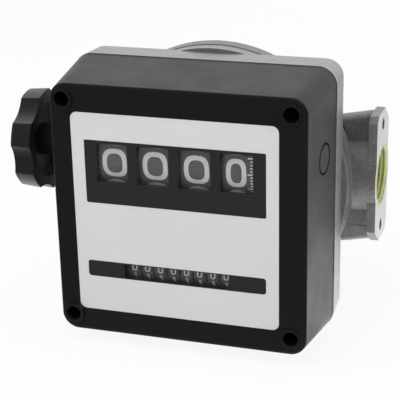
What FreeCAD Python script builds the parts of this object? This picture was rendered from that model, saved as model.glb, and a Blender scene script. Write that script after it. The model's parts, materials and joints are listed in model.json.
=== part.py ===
import FreeCAD, Part
import math
import os

# Mechanical fuel meter with a four digit counter and an eight digit totaliser.
# Millimetres. X runs along the two ports, Y runs from the dial (negative) to the
# rear mounting face (y = 0), Z is up. The main axis of the castings is x = z = 0.

# --- depth stack, from the rear mounting face towards the dial ---
REAR_CASTING_DEPTH = 63.3
REAR_FLANGE = 6.4
BASE_FLANGE = 6.4
BASE_DEPTH = 20.0
GASKET = 0.5
HOUSING_DEPTH = 44.3

# --- register housing ---
FRONT_WIDTH = 134.6
FRONT_HEIGHT = 136.6
SIDE_DRAFT = 4.1
FRONT_CORNER = 8.9
FRONT_EDGE_RADIUS = 1.0
HOUSING_WALL = 3.0
FRONT_WALL = 4.6
FRONT_LAND = 1.6
BASE_OVERHANG = 0.4
BASE_DRAFT = 0.9
BACK_CORNER = FRONT_CORNER + 0.4
BASE_WALL = 4.0
BASE_FLOOR = 4.0
BOSS_RISE = 1.2
SCREW_MIDDLE_X = -1.0
SCREW_X = FRONT_WIDTH / 2 - 7.4
SCREW_Z = FRONT_HEIGHT / 2 - 8.6
TOWER_RADIUS = 6.2
COUNTERBORE_RADIUS = 4.0
COUNTERBORE_DEPTH = 22.0
HOUSING_SCREW_GRIP = 8.5
HOUSING_SCREW_LENGTH = HOUSING_DEPTH - COUNTERBORE_DEPTH + GASKET + HOUSING_SCREW_GRIP
M3_CLEARANCE = 1.7
M3_RADIUS = 1.5
M3_HEAD_RADIUS = 2.7
M3_HEAD = 3.0
M3_CORE = 1.55

# --- dial ---
DIAL_X = -2.6
DIAL_Z = -1.9
DIAL_WIDTH = 109.8
DIAL_HEIGHT = 109.5
DIAL_CORNER = 3.6
DIAL_SUNK = 2.4
PLATE = 1.0
PLATE_GAP = 0.1
LEDGE = 3.0
MASK_X = -2.4
MASK_Z = 21.4
MASK_WIDTH = 96.4
MASK_HEIGHT = 34.2
MASK_RIM = 1.6
MASK_FLANGE = 1.0
WINDOW_WIDTH = 16.4
WINDOW_HEIGHT = 20.1
WINDOW_Z = 26.3
BAR_X = -3.0
BAR_Z = -32.8
BAR_WIDTH = 97.2
BAR_HEIGHT = 9.0
BAR_WINDOW_X = -2.45
BAR_WINDOW_WIDTH = 57.7
BAR_WINDOW_HEIGHT = 8.0
LENS = 1.5

# --- number wheels ---
WHEEL_AXIS_DEPTH = 33.0
WHEEL_AXIS_Z = 26.9
WHEEL_RADIUS = 26.5
WHEEL_WIDTH = 17.6
WHEEL_PITCH = 22.1
WHEEL_COUNT = 4
UNITS_WHEEL_X = 30.5
NUMBER_MODULE = 2.0
PINION_ANGLE = 60.0
WHEEL_TEETH = 20
PINION_TEETH = 8

# --- totaliser wheels ---
TOTAL_AXIS_DEPTH = 17.0
TOTAL_AXIS_Z = -32.8
TOTAL_RADIUS = 9.0
TOTAL_WIDTH = 5.3
TOTAL_PITCH = 7.2
TOTAL_COUNT = 8
TOTAL_UNITS_X = 22.7
TOTAL_MODULE = 0.8
TOTAL_PINION_ANGLE = 0.0
TOTAL_ROD_RADIUS = 1.5

# --- reset shaft and knob ---
RESET_SHAFT_RADIUS = 3.0
RUNNING_GAP = 0.05
PRESS_GAP = 0.02
BUSH_RADIUS = 6.0
BUSH_FLANGE = 1.5
BUSH_FLANGE_RADIUS = 9.5
KNOB_RADIUS = 28.0
KNOB_RIM = 11.1
KNOB_GAP = 15.6
KNOB_LOBES = 6
KNOB_HUB_RADIUS = 9.0
KNOB_GROOVE = 3.0
KNOB_SCALLOP = 34.0
KNOB_FIRST_SCALLOP = 10.0
KNOB_TAPER = 1.0
KNOB_HOLLOW = 5.0
KNOB_HOLLOW_RADIUS = 20.5
KNOB_DISH_RADIUS = 18.0
KNOB_DISH = 2.0
KNOB_WEB = 5.0
KNOB_SCREW_LENGTH = 12.0
KNOB_SCREW_HEAD = 1.8
PLUG_RADIUS = 9.2
PLUG_DEPTH = 26.4
PLUG_Z = 30.0
PLUG_LIP = 2.0

# --- gear train ---
TRAIN_MODULE = 0.8
TRAIN_PINION_TEETH = 10
TRAIN_WHEEL_TEETH = 50
TRAIN_FACE = 4.0
TRAIN_FLOOR_GAP = 1.8
CROSS_BEHIND_WHEELS = 14.0
FINAL_MODULE = 1.0
FINAL_PINION_TEETH = 12
FINAL_WHEEL_TEETH = 48
BEVEL_TEETH = 12
BEVEL_MODULE = 1.0
BEVEL_FACE = 2.4
TOTAL_GEAR_MODULE = 0.4
TOTAL_IDLER_TEETH = 58
FINAL_FACE = 2.6
CLUSTER_FACE = 3.0
TOTAL_DRIVE_FACE = 2.4
GEAR_HOLES = 5
GEAR_HOLE_RADIUS = 3.6
GEAR_HOLE_CIRCLE = 12.0
ROD_RADIUS = 2.0
PLATE_X = 52.0
PLATE_SHEET = 1.5
FOOT_Z = 38.0
FOOT_LENGTH = 7.5
FOOT_HEIGHT = 12.0
REGISTER_SCREW_LENGTH = 4.5
REGISTER_SCREW_HEAD = 2.0
REGISTER_SCREW_HOLE = 3.2

# --- castings and ports ---
FLANGE_RADIUS = 75.2
BASE_FLANGE_RADIUS = FLANGE_RADIUS - 1.0
BOWL_RADIUS = FLANGE_RADIUS - 15.2
BOWL_DRAFT = 4.0
BOWL_SHOULDER = 6.0
CAVITY_RADIUS = BOWL_RADIUS - 6.0
CAVITY_CORNER = 4.0
REAR_FLOOR = 6.0
REAR_PAD_RADIUS = BOWL_RADIUS - 10.0
MOUNT_SPACING = 52.0
MOUNT_HOLE_RADIUS = 2.1
MOUNT_HOLE_DEPTH = 11.0
MOUNT_BOSS_RADIUS = 5.0
MOUNT_BOSS_CAP = 2.5
PORT_DEPTH = 46.5
PORT_FACE_X = 87.4
PORT_FLANGE_WIDTH = 35.0
PORT_FLANGE_HEIGHT = 75.0
PORT_FLANGE_CUT = (12.5, 9.3)
PORT_FLANGE_CHAMFER = 3.5
PORT_FLANGE_PLATE = 4.8
NECK_RADIUS = 20.4
NECK_OVERRUN = 12.0
PORT_BORE_RADIUS = 14.0
INSERT_RADIUS = 17.6
INSERT_BORE_RADIUS = 15.15
INSERT_LENGTH = 18.0
PORT_HOLE_SPACING = 59.0
PORT_HOLE_RADIUS = 3.4
PORT_HOLE_DEPTH = 15.0
RIB_THICKNESS = 9.0
RIB_TOP = 32.5
RIB_BOTTOM = 36.0
FLANGE_BOLTS = 8
BOLT_CIRCLE = FLANGE_RADIUS - 7.9
BOLT_RECESS_GAP = 0.6
BOLT_GRIP = 4.0
BOLT_TIP = 6.0
FLANGE_EDGE_DRAFT = 0.6
M5_RADIUS = 2.5
M5_CLEARANCE = 2.75
M5_HEAD_RADIUS = 4.25
M5_HEAD = 3.5
O_RING_RADIUS = CAVITY_RADIUS + 3.5
O_RING_CORD = 1.2

# --- measuring chamber ---
CHAMBER_DEPTH = 46.5
DISC_RADIUS = CAVITY_RADIUS - 16.0
DISC_SHEET = 2.6
BALL_RADIUS = 10.5
TILT = 14.0
CHAMBER_WALL = 4.0
CHAMBER_GAP = 0.25
CHAMBER_HALF = 17.0
CHAMBER_OPENING_WIDTH = 9.0
CHAMBER_OPENING_DEPTH = 17.0
CHAMBER_OPENING_HEIGHT = 14.0
CHAMBER_OPENING_SINK = 5.0
CHAMBER_OPENING_X = 3.5
CHUTE_RADIUS = 3.0
CHUTE_OVERRUN = 4.0
LUG_THICKNESS = 4.0
LUG_RADIUS = 4.2
LUG_GAP = 0.8
PARTITION = 1.5
DISC_SLOT = 4.4
SPINDLE_RADIUS = 2.4
SPINDLE_REACH = 28.5
CRANK_THICKNESS = 2.5
CRANK_RADIUS = 12.0
CRANK_GAP = 0.6
DRIVE_SHAFT_RADIUS = 3.0
PINION_SEAT_RADIUS = 1.6
SHAFT_BUSH_RADIUS = 5.5
SHAFT_BOSS_WALL = 3.0
STUD_BOSS_RADIUS = 4.5

# --- places that follow from the sizes above ---
JOINT_Y = -(REAR_CASTING_DEPTH + REAR_FLANGE)
BASE_BACK_Y = JOINT_Y - BASE_FLANGE
BASE_FRONT_Y = BASE_BACK_Y - BASE_DEPTH
HOUSING_BACK_Y = BASE_FRONT_Y - GASKET
FRONT_Y = HOUSING_BACK_Y - HOUSING_DEPTH
FLOOR_Y = BASE_BACK_Y - BASE_FLOOR
DIAL_Y = FRONT_Y + DIAL_SUNK
PLATE_BACK_Y = DIAL_Y + PLATE
WHEEL_Y = FRONT_Y + WHEEL_AXIS_DEPTH
TOTAL_Y = FRONT_Y + TOTAL_AXIS_DEPTH
KNOB_INNER_X = -(FRONT_WIDTH / 2 + KNOB_GAP)
KNOB_OUTER_X = KNOB_INNER_X - KNOB_RIM
CRANK_Y = BASE_BACK_Y + CRANK_GAP
TILT_ANGLE = math.radians(TILT)

X = FreeCAD.Vector(1, 0, 0)
Y = FreeCAD.Vector(0, 1, 0)
Z = FreeCAD.Vector(0, 0, 1)
ORIGIN = FreeCAD.Vector(0, 0, 0)
CENTRE = FreeCAD.Vector(0, -CHAMBER_DEPTH, 0)


# ---------------------------------------------------------------- helpers
def vec(x, y, z):
    return FreeCAD.Vector(x, y, z)


def rod(axis, start, radius, length):
    """Solid cylinder from start along axis."""
    return Part.makeCylinder(radius, length, start, axis)


def tube(axis, start, outer, inner, length):
    return rod(axis, start, outer, length).cut(rod(axis, start, inner, length))


def fuse(shapes):
    first, *others = shapes
    return first.multiFuse(others).removeSplitter() if others else first


def cut(shape, tools):
    return shape.cut(Part.makeCompound(tools)) if tools else shape


def local_to_x(shape):
    """Local x, y, z become Y, Z, X, so a shape along local z lies along X."""
    matrix = FreeCAD.Matrix(0, 0, 1, 0, 1, 0, 0, 0, 0, 1, 0, 0, 0, 0, 0, 1)
    return placed(shape, matrix)


def local_to_y(shape):
    """Local x, y, z become Z, X, Y, so a shape along local z lies along Y."""
    matrix = FreeCAD.Matrix(0, 1, 0, 0, 0, 0, 1, 0, 1, 0, 0, 0, 0, 0, 0, 1)
    return placed(shape, matrix)


def placed(shape, matrix):
    copy = shape.copy()
    copy.Placement = FreeCAD.Placement(matrix).multiply(copy.Placement)
    return copy


def moved(shape, x=0.0, y=0.0, z=0.0):
    copy = shape.copy()
    copy.translate(vec(x, y, z))
    return copy


def rounded_rectangle(width, height, radius, y, x=0.0, z=0.0):
    """Closed wire in the plane at y, centred on x and z."""
    a = width / 2
    b = height / 2
    k = radius * (1 - math.sqrt(0.5))
    corners = [(1, 1), (-1, 1), (-1, -1), (1, -1)]
    edges = []
    ends = []
    for sx, sz in corners:
        along_x = vec(x + sx * (a - radius), y, z + sz * b)
        along_z = vec(x + sx * a, y, z + sz * (b - radius))
        middle = vec(x + sx * (a - k), y, z + sz * (b - k))
        start, end = (along_z, along_x) if sx * sz > 0 else (along_x, along_z)
        edges.append(Part.Arc(start, middle, end).toShape())
        ends.append((start, end))
    loop = []
    for i in range(4):
        loop.append(edges[i])
        loop.append(Part.makeLine(ends[i][1], ends[(i + 1) % 4][0]))
    return Part.Wire(loop)


def slab(width, height, radius, y, depth, x=0.0, z=0.0):
    """Rounded rectangular plate from y to y + depth."""
    return Part.Face(rounded_rectangle(width, height, radius, y, x, z)).extrude(Y * depth)


def drafted(front, back, y_front, y_back):
    """Loft between two rounded rectangles given as (width, height, radius)."""
    wires = [rounded_rectangle(*front, y_front), rounded_rectangle(*back, y_back)]
    return Part.makeLoft(wires, True, True)


def revolved_y(points, angle=360.0):
    """Revolve a closed outline of (radius, y) points about the main axis."""
    wire = Part.makePolygon([vec(r, y, 0) for r, y in points + points[:1]])
    return Part.Face(wire).revolve(ORIGIN, Y, angle)


def revolved_x(points, y, z):
    """Revolve a closed outline of (radius, x) points about the line along X at y, z."""
    wire = Part.makePolygon([vec(x, y + r, z) for r, x in points + points[:1]])
    return Part.Face(wire).revolve(vec(0, y, z), X, 360)


def on_circle(radius, count, first=0.0):
    """Points (a, b) evenly spaced on a circle."""
    angles = [first + 2 * math.pi * i / count for i in range(count)]
    return [(radius * math.cos(angle), radius * math.sin(angle)) for angle in angles]


def circle_meet(a, ra, b, rb, side):
    """Where circles about a and b meet, on the given side of the line from a to b."""
    dx, dy = b[0] - a[0], b[1] - a[1]
    d = math.hypot(dx, dy)
    along = (d * d + ra * ra - rb * rb) / (2 * d)
    off = side * math.sqrt(ra * ra - along * along)
    return (a[0] + (along * dx - off * dy) / d, a[1] + (along * dy + off * dx) / d)


# ---------------------------------------------------------------- gears
TOOTH_SLOPE = math.tan(math.radians(20))
ADDENDUM = 0.85
DEDENDUM = 1.15
BACKLASH = 0.12


def pitch_radius(teeth, module):
    return teeth * module / 2


def gear_outline(teeth, module, phase, keep=None):
    """Points of a spur gear; only the teeth named in keep are full height."""
    pitch = pitch_radius(teeth, module)
    tip = pitch + ADDENDUM * module
    root = pitch - DEDENDUM * module
    half = math.pi * module / 4 - BACKLASH * module / 2
    half_tip = (half - TOOTH_SLOPE * ADDENDUM * module) / tip
    half_root = (half + 0.12 * module) / root
    points = []
    for i in range(teeth):
        middle = phase + 2 * math.pi * i / teeth
        if keep is not None and i not in keep:
            continue
        for radius, offset in ((root, -half_root), (tip, -half_tip), (tip, half_tip), (root, half_root)):
            angle = middle + offset
            points.append(vec(radius * math.cos(angle), radius * math.sin(angle), 0))
    return points


def gear(teeth, module, phase, face, keep=None):
    """Spur gear from local z = 0 to face."""
    points = gear_outline(teeth, module, phase, keep)
    return Part.Face(Part.makePolygon(points + points[:1])).extrude(Z * face)


def mesh_phase(centre, phase, teeth, other_centre, other_teeth, module):
    """Phase that puts the other gear's gap on this gear's tooth."""
    line = math.atan2(other_centre[1] - centre[1], other_centre[0] - centre[0])
    shift = (phase - line) * pitch_radius(teeth, module) + math.pi * module / 2
    return line + math.pi - shift / pitch_radius(other_teeth, module)


def bevel(teeth, module, face, phase, hub):
    """Bevel gear for a 90 degree pair of equal gears: apex at the origin, large end at local z = pitch."""
    pitch = pitch_radius(teeth, module)
    small = (pitch - face) / pitch
    points = gear_outline(teeth, module, phase)
    large_wire = Part.makePolygon([p + Z * pitch for p in points + points[:1]])
    small_wire = Part.makePolygon([(p + Z * pitch) * small for p in points + points[:1]])
    teeth_solid = Part.makeLoft([small_wire, large_wire], True, True)
    return fuse([teeth_solid, rod(Z, Z * pitch, hub, face / 2)])


# Gear centres. Those on shafts along Y are (z, x); those on shafts along X are (y, z).
TRAIN_DISTANCE = pitch_radius(TRAIN_PINION_TEETH + TRAIN_WHEEL_TEETH, TRAIN_MODULE)
FINAL_DISTANCE = pitch_radius(FINAL_PINION_TEETH + FINAL_WHEEL_TEETH, FINAL_MODULE)
BEVEL_PITCH = pitch_radius(BEVEL_TEETH, BEVEL_MODULE)
TRAIN_FRONT_Y = FLOOR_Y - TRAIN_FLOOR_GAP - TRAIN_FACE
BEVEL_Y = WHEEL_Y + CROSS_BEHIND_WHEELS
CRANK = (0.0, 0.0)
REDUCER = (-TRAIN_DISTANCE, 0.0)
NUMBER = (WHEEL_Y, WHEEL_AXIS_Z)
CROSS = (BEVEL_Y, -TRAIN_DISTANCE)
CLUSTER = circle_meet(NUMBER, FINAL_DISTANCE, CROSS, TRAIN_DISTANCE, -1)
TOTAL = (TOTAL_Y, TOTAL_AXIS_Z)
IDLER = circle_meet(
    CLUSTER,
    pitch_radius(FINAL_PINION_TEETH + TOTAL_IDLER_TEETH, TOTAL_GEAR_MODULE),
    TOTAL,
    pitch_radius(TOTAL_IDLER_TEETH + FINAL_WHEEL_TEETH, TOTAL_GEAR_MODULE),
    -1,
)
PLUG = (FRONT_Y + PLUG_DEPTH, PLUG_Z)


def pinion_centre(centre, module, degrees):
    distance = pitch_radius(WHEEL_TEETH + PINION_TEETH, module)
    angle = math.radians(degrees)
    return (centre[0] + distance * math.cos(angle), centre[1] + distance * math.sin(angle))


NUMBER_PINION = pinion_centre(NUMBER, NUMBER_MODULE, PINION_ANGLE)
TOTAL_PINION = pinion_centre(TOTAL, TOTAL_MODULE, TOTAL_PINION_ANGLE)

# Layers along X of the gears at the right-hand end of the register.
WHEEL_END_X = UNITS_WHEEL_X + WHEEL_WIDTH / 2
FINAL_X = WHEEL_END_X + 0.6
CLUSTER_X = FINAL_X + FINAL_FACE + 0.8
TOTAL_DRIVE_X = CLUSTER_X + CLUSTER_FACE + 1.6


def put_x(shape, centre, x):
    """Place a gear made about local z on the shaft along X at centre (y, z)."""
    return moved(local_to_x(shape), x, centre[0], centre[1])


def put_y(shape, centre, y):
    """Place a gear made about local z on the shaft along Y at centre (z, x)."""
    return moved(local_to_y(shape), centre[1], y, centre[0])


def rod_x(centre, x0, x1, radius):
    return rod(X, vec(x0, centre[0], centre[1]), radius, x1 - x0)


# ---------------------------------------------------------------- outer case
def housing_outer():
    front = (FRONT_WIDTH, FRONT_HEIGHT, FRONT_CORNER)
    back = (FRONT_WIDTH + 2 * SIDE_DRAFT, FRONT_HEIGHT + 2 * SIDE_DRAFT, BACK_CORNER)
    solid = drafted(front, back, FRONT_Y, HOUSING_BACK_Y)
    edges = [e for e in solid.Edges if e.BoundBox.YMax < FRONT_Y + 0.01]
    return solid.makeFillet(FRONT_EDGE_RADIUS, edges)


def housing_inner():
    w = FRONT_WIDTH - 2 * HOUSING_WALL
    h = FRONT_HEIGHT - 2 * HOUSING_WALL
    front = (w, h, FRONT_CORNER - HOUSING_WALL)
    back = (w + 2 * SIDE_DRAFT, h + 2 * SIDE_DRAFT, BACK_CORNER - HOUSING_WALL)
    return drafted(front, back, FRONT_Y + FRONT_WALL, HOUSING_BACK_Y)


def screw_places():
    return [(SCREW_MIDDLE_X + sx * SCREW_X, sz * SCREW_Z) for sx in (-1, 1) for sz in (-1, 1)]


def dial_recess():
    """Pocket for the dial plate; the border slopes down to it except round the screw holes."""
    pocket = slab(
        DIAL_WIDTH + 2 * PLATE_GAP, DIAL_HEIGHT + 2 * PLATE_GAP, DIAL_CORNER, FRONT_Y,
        DIAL_SUNK + PLATE, DIAL_X, DIAL_Z,
    )
    wide = rounded_rectangle(
        FRONT_WIDTH - 2 * FRONT_LAND, FRONT_HEIGHT - 2 * FRONT_LAND, FRONT_CORNER - FRONT_LAND, FRONT_Y
    )
    narrow = rounded_rectangle(
        DIAL_WIDTH + 2 * PLATE_GAP, DIAL_HEIGHT + 2 * PLATE_GAP, DIAL_CORNER, FRONT_Y + DIAL_SUNK,
        DIAL_X, DIAL_Z,
    )
    slope = Part.makeLoft([wide, narrow], True, True)
    bosses = [
        rod(Y, vec(x, FRONT_Y, z), COUNTERBORE_RADIUS + FRONT_LAND, DIAL_SUNK) for x, z in screw_places()
    ]
    return pocket.fuse(cut(slope, bosses))


def counter_housing():
    shell = housing_outer().cut(housing_inner())
    towers = [
        rod(Y, vec(x, FRONT_Y + FRONT_EDGE_RADIUS, z), TOWER_RADIUS, HOUSING_DEPTH - FRONT_EDGE_RADIUS)
        for x, z in screw_places()
    ]
    outside = -(FRONT_WIDTH / 2 + SIDE_DRAFT)
    inside = -(FRONT_WIDTH / 2 - HOUSING_WALL)
    bush_seat = rod_x(NUMBER, outside, inside, BUSH_FLANGE_RADIUS + 1.0)
    shell = fuse([shell, bush_seat] + [tower.common(housing_outer()) for tower in towers])
    holes = [dial_recess()]
    holes.append(
        slab(
            DIAL_WIDTH - 2 * LEDGE, DIAL_HEIGHT - 2 * LEDGE, 1.5, FRONT_Y, 2 * FRONT_WALL, DIAL_X, DIAL_Z
        )
    )
    for x, z in screw_places():
        holes.append(rod(Y, vec(x, FRONT_Y, z), COUNTERBORE_RADIUS, COUNTERBORE_DEPTH))
        holes.append(rod(Y, vec(x, FRONT_Y, z), M3_CLEARANCE, HOUSING_DEPTH))
    holes.append(rod_x(NUMBER, -FRONT_WIDTH, 0, BUSH_RADIUS + RUNNING_GAP))
    holes.append(rod_x(PLUG, 0, FRONT_WIDTH, PLUG_RADIUS + PLATE_GAP))
    return cut(shell, holes)


def reset_bush():
    """Flanged bush that carries the reset shaft in the left wall."""
    outside = -(FRONT_WIDTH / 2 + SIDE_DRAFT)
    inside = -(FRONT_WIDTH / 2 - HOUSING_WALL - 2.0)
    outline = [
        (RESET_SHAFT_RADIUS + RUNNING_GAP, outside - BUSH_FLANGE),
        (BUSH_FLANGE_RADIUS, outside - BUSH_FLANGE),
        (BUSH_FLANGE_RADIUS, outside),
        (BUSH_RADIUS, outside),
        (BUSH_RADIUS, inside),
        (RESET_SHAFT_RADIUS + RUNNING_GAP, inside),
    ]
    return revolved_x(outline, *NUMBER)


def side_plug():
    """Flush plug in the right wall, near the line of the knob, with a lip behind the wall."""
    lip_radius = PLUG_RADIUS + 1.5
    slope = SIDE_DRAFT / (HOUSING_DEPTH - FRONT_WALL)
    lip_end = FRONT_WIDTH / 2 - HOUSING_WALL + slope * (PLUG_DEPTH - lip_radius - FRONT_WALL)
    plug = rod_x(PLUG, lip_end - PLUG_LIP, FRONT_WIDTH, PLUG_RADIUS).common(housing_outer())
    lip = rod_x(PLUG, lip_end - PLUG_LIP, lip_end, lip_radius)
    cup = rod_x(PLUG, lip_end - PLUG_LIP, FRONT_WIDTH / 2, PLUG_RADIUS - 1.8)
    return fuse([plug, lip]).cut(cup)


def faceplate():
    plate = slab(DIAL_WIDTH, DIAL_HEIGHT, DIAL_CORNER, DIAL_Y, PLATE, DIAL_X, DIAL_Z)
    openings = [
        slab(MASK_WIDTH, MASK_HEIGHT, 0.8, DIAL_Y, PLATE, MASK_X, MASK_Z),
        slab(BAR_WIDTH, BAR_HEIGHT, 1.6, DIAL_Y, PLATE, BAR_X, BAR_Z),
    ]
    return cut(plate, openings)


def window_centres():
    return [UNITS_WHEEL_X - i * WHEEL_PITCH for i in range(WHEEL_COUNT)]


def bevelled_window(width, height, x, z):
    """Opening that widens slightly towards the reader."""
    front = rounded_rectangle(width + 0.8, height + 0.8, 0.9, DIAL_Y, x, z)
    back = rounded_rectangle(width, height, 0.5, PLATE_BACK_Y + MASK_FLANGE, x, z)
    return Part.makeLoft([front, back], True, True)


def number_mask():
    boss = slab(
        MASK_WIDTH - 2 * PLATE_GAP, MASK_HEIGHT - 2 * PLATE_GAP, 0.7, DIAL_Y, PLATE, MASK_X, MASK_Z
    )
    flange = slab(
        MASK_WIDTH + 2 * MASK_RIM, MASK_HEIGHT + 2 * MASK_RIM, 1.0, PLATE_BACK_Y, MASK_FLANGE, MASK_X, MASK_Z
    )
    windows = [bevelled_window(WINDOW_WIDTH, WINDOW_HEIGHT, x, WINDOW_Z) for x in window_centres()]
    return cut(fuse([boss, flange]), windows)


def total_mask():
    boss = slab(BAR_WIDTH - 2 * PLATE_GAP, BAR_HEIGHT - 2 * PLATE_GAP, 1.5, DIAL_Y, PLATE, BAR_X, BAR_Z)
    flange = slab(
        BAR_WIDTH + 2 * MASK_RIM, BAR_HEIGHT + 2 * MASK_RIM, 1.0, PLATE_BACK_Y, MASK_FLANGE, BAR_X, BAR_Z
    )
    window = slab(
        BAR_WINDOW_WIDTH, BAR_WINDOW_HEIGHT, 0.4, DIAL_Y, PLATE + MASK_FLANGE, BAR_WINDOW_X, BAR_Z
    )
    return cut(fuse([boss, flange]), [window])


def dial_lenses():
    """Clear panes behind the two masks."""
    sizes = ((MASK_WIDTH, MASK_HEIGHT, MASK_X, MASK_Z), (BAR_WIDTH, BAR_HEIGHT, BAR_X, BAR_Z))
    return Part.makeCompound(
        [
            slab(width + 2 * MASK_RIM, height + 2 * MASK_RIM, 1.0, PLATE_BACK_Y + MASK_FLANGE, LENS, x, z)
            for width, height, x, z in sizes
        ]
    )


def screw(axis, seat, radius, length, head_radius, head):
    """Screw whose shank runs from the seat along axis, with a hex socket in its head."""
    shank = rod(axis, seat, radius, length)
    cap = rod(axis, seat - axis * head, head_radius, head)
    socket = hexagon(axis, seat - axis * head, head_radius * 0.55, head * 0.55)
    return shank.fuse(cap).removeSplitter().cut(socket)


def hexagon(axis, start, radius, depth):
    side = Z if abs(axis.z) < 0.5 else X
    across = axis.cross(side)
    points = [start + side * a + across * b for a, b in on_circle(radius, 6)]
    return Part.Face(Part.makePolygon(points + points[:1])).extrude(axis * depth)


def housing_screws():
    seat_y = FRONT_Y + COUNTERBORE_DEPTH
    return Part.makeCompound(
        [
            screw(Y, vec(x, seat_y, z), M3_RADIUS, HOUSING_SCREW_LENGTH, M3_HEAD_RADIUS, M3_HEAD)
            for x, z in screw_places()
        ]
    )


# ---------------------------------------------------------------- reset knob
def lobed_wire(radius, x):
    """Closed outline of arcs about the wheel axis in the plane at x, with a hollow between lobes."""
    half = math.radians(KNOB_SCALLOP / 2)
    step = 2 * math.pi / KNOB_LOBES
    edges = []
    for i in range(KNOB_LOBES):
        hollow = math.radians(KNOB_FIRST_SCALLOP) + i * step
        lobe = hollow + step / 2
        angles = (hollow - half, hollow + half, hollow + step - half)
        ends = [knob_point(radius, angle, x) for angle in angles]
        edges.append(Part.Arc(ends[0], knob_point(radius - KNOB_GROOVE, hollow, x), ends[1]).toShape())
        edges.append(Part.Arc(ends[1], knob_point(radius, lobe, x), ends[2]).toShape())
    return Part.Wire(edges)


def knob_point(radius, angle, x):
    return vec(x, NUMBER[0] + radius * math.cos(angle), NUMBER[1] + radius * math.sin(angle))


def reset_knob():
    """Lobed hand knob with a dished outer face, a hollow back and a long hub."""
    inner = lobed_wire(KNOB_RADIUS, KNOB_INNER_X)
    outer = lobed_wire(KNOB_RADIUS - KNOB_TAPER, KNOB_OUTER_X)
    rim = Part.makeLoft([inner, outer], True, True)
    back = vec(KNOB_INNER_X - KNOB_HOLLOW, *NUMBER)
    back_hollow = tube(X, back, KNOB_HOLLOW_RADIUS, KNOB_HUB_RADIUS, KNOB_HOLLOW)
    dish = rod_x(NUMBER, KNOB_OUTER_X, KNOB_OUTER_X + KNOB_DISH, KNOB_DISH_RADIUS)
    hub_end = -(FRONT_WIDTH / 2 + SIDE_DRAFT + BUSH_FLANGE + 0.3)
    hub = rod_x(NUMBER, KNOB_INNER_X - KNOB_HOLLOW, hub_end, KNOB_HUB_RADIUS)
    body = fuse([rim.cut(back_hollow).cut(dish), hub])
    bore = rod_x(NUMBER, KNOB_OUTER_X + KNOB_WEB, hub_end, RESET_SHAFT_RADIUS + PRESS_GAP)
    screw_hole = rod_x(NUMBER, KNOB_OUTER_X, KNOB_OUTER_X + KNOB_WEB, M3_CLEARANCE)
    return cut(body, [bore, screw_hole])


def knob_screw():
    seat = vec(KNOB_OUTER_X + KNOB_DISH, *NUMBER)
    return screw(X, seat, M3_RADIUS, KNOB_SCREW_LENGTH, M3_HEAD_RADIUS + 0.6, KNOB_SCREW_HEAD)


def reset_shaft():
    """Shaft that the number wheels run on, with a reset flute along it."""
    start = KNOB_OUTER_X + KNOB_WEB
    end = PLATE_X + PLATE_SHEET + 3.0
    shaft = rod_x(NUMBER, start, end, RESET_SHAFT_RADIUS)
    tapped = rod_x(NUMBER, start, start + 10.0, M3_CORE)
    flute_x = UNITS_WHEEL_X - (WHEEL_COUNT - 0.5) * WHEEL_PITCH
    flute = Part.makeBox(
        WHEEL_COUNT * WHEEL_PITCH, 1.0, 1.0,
        vec(flute_x, NUMBER[0] - 0.5, NUMBER[1] + RESET_SHAFT_RADIUS - 0.6),
    )
    return cut(shaft, [tapped, flute])


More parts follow.
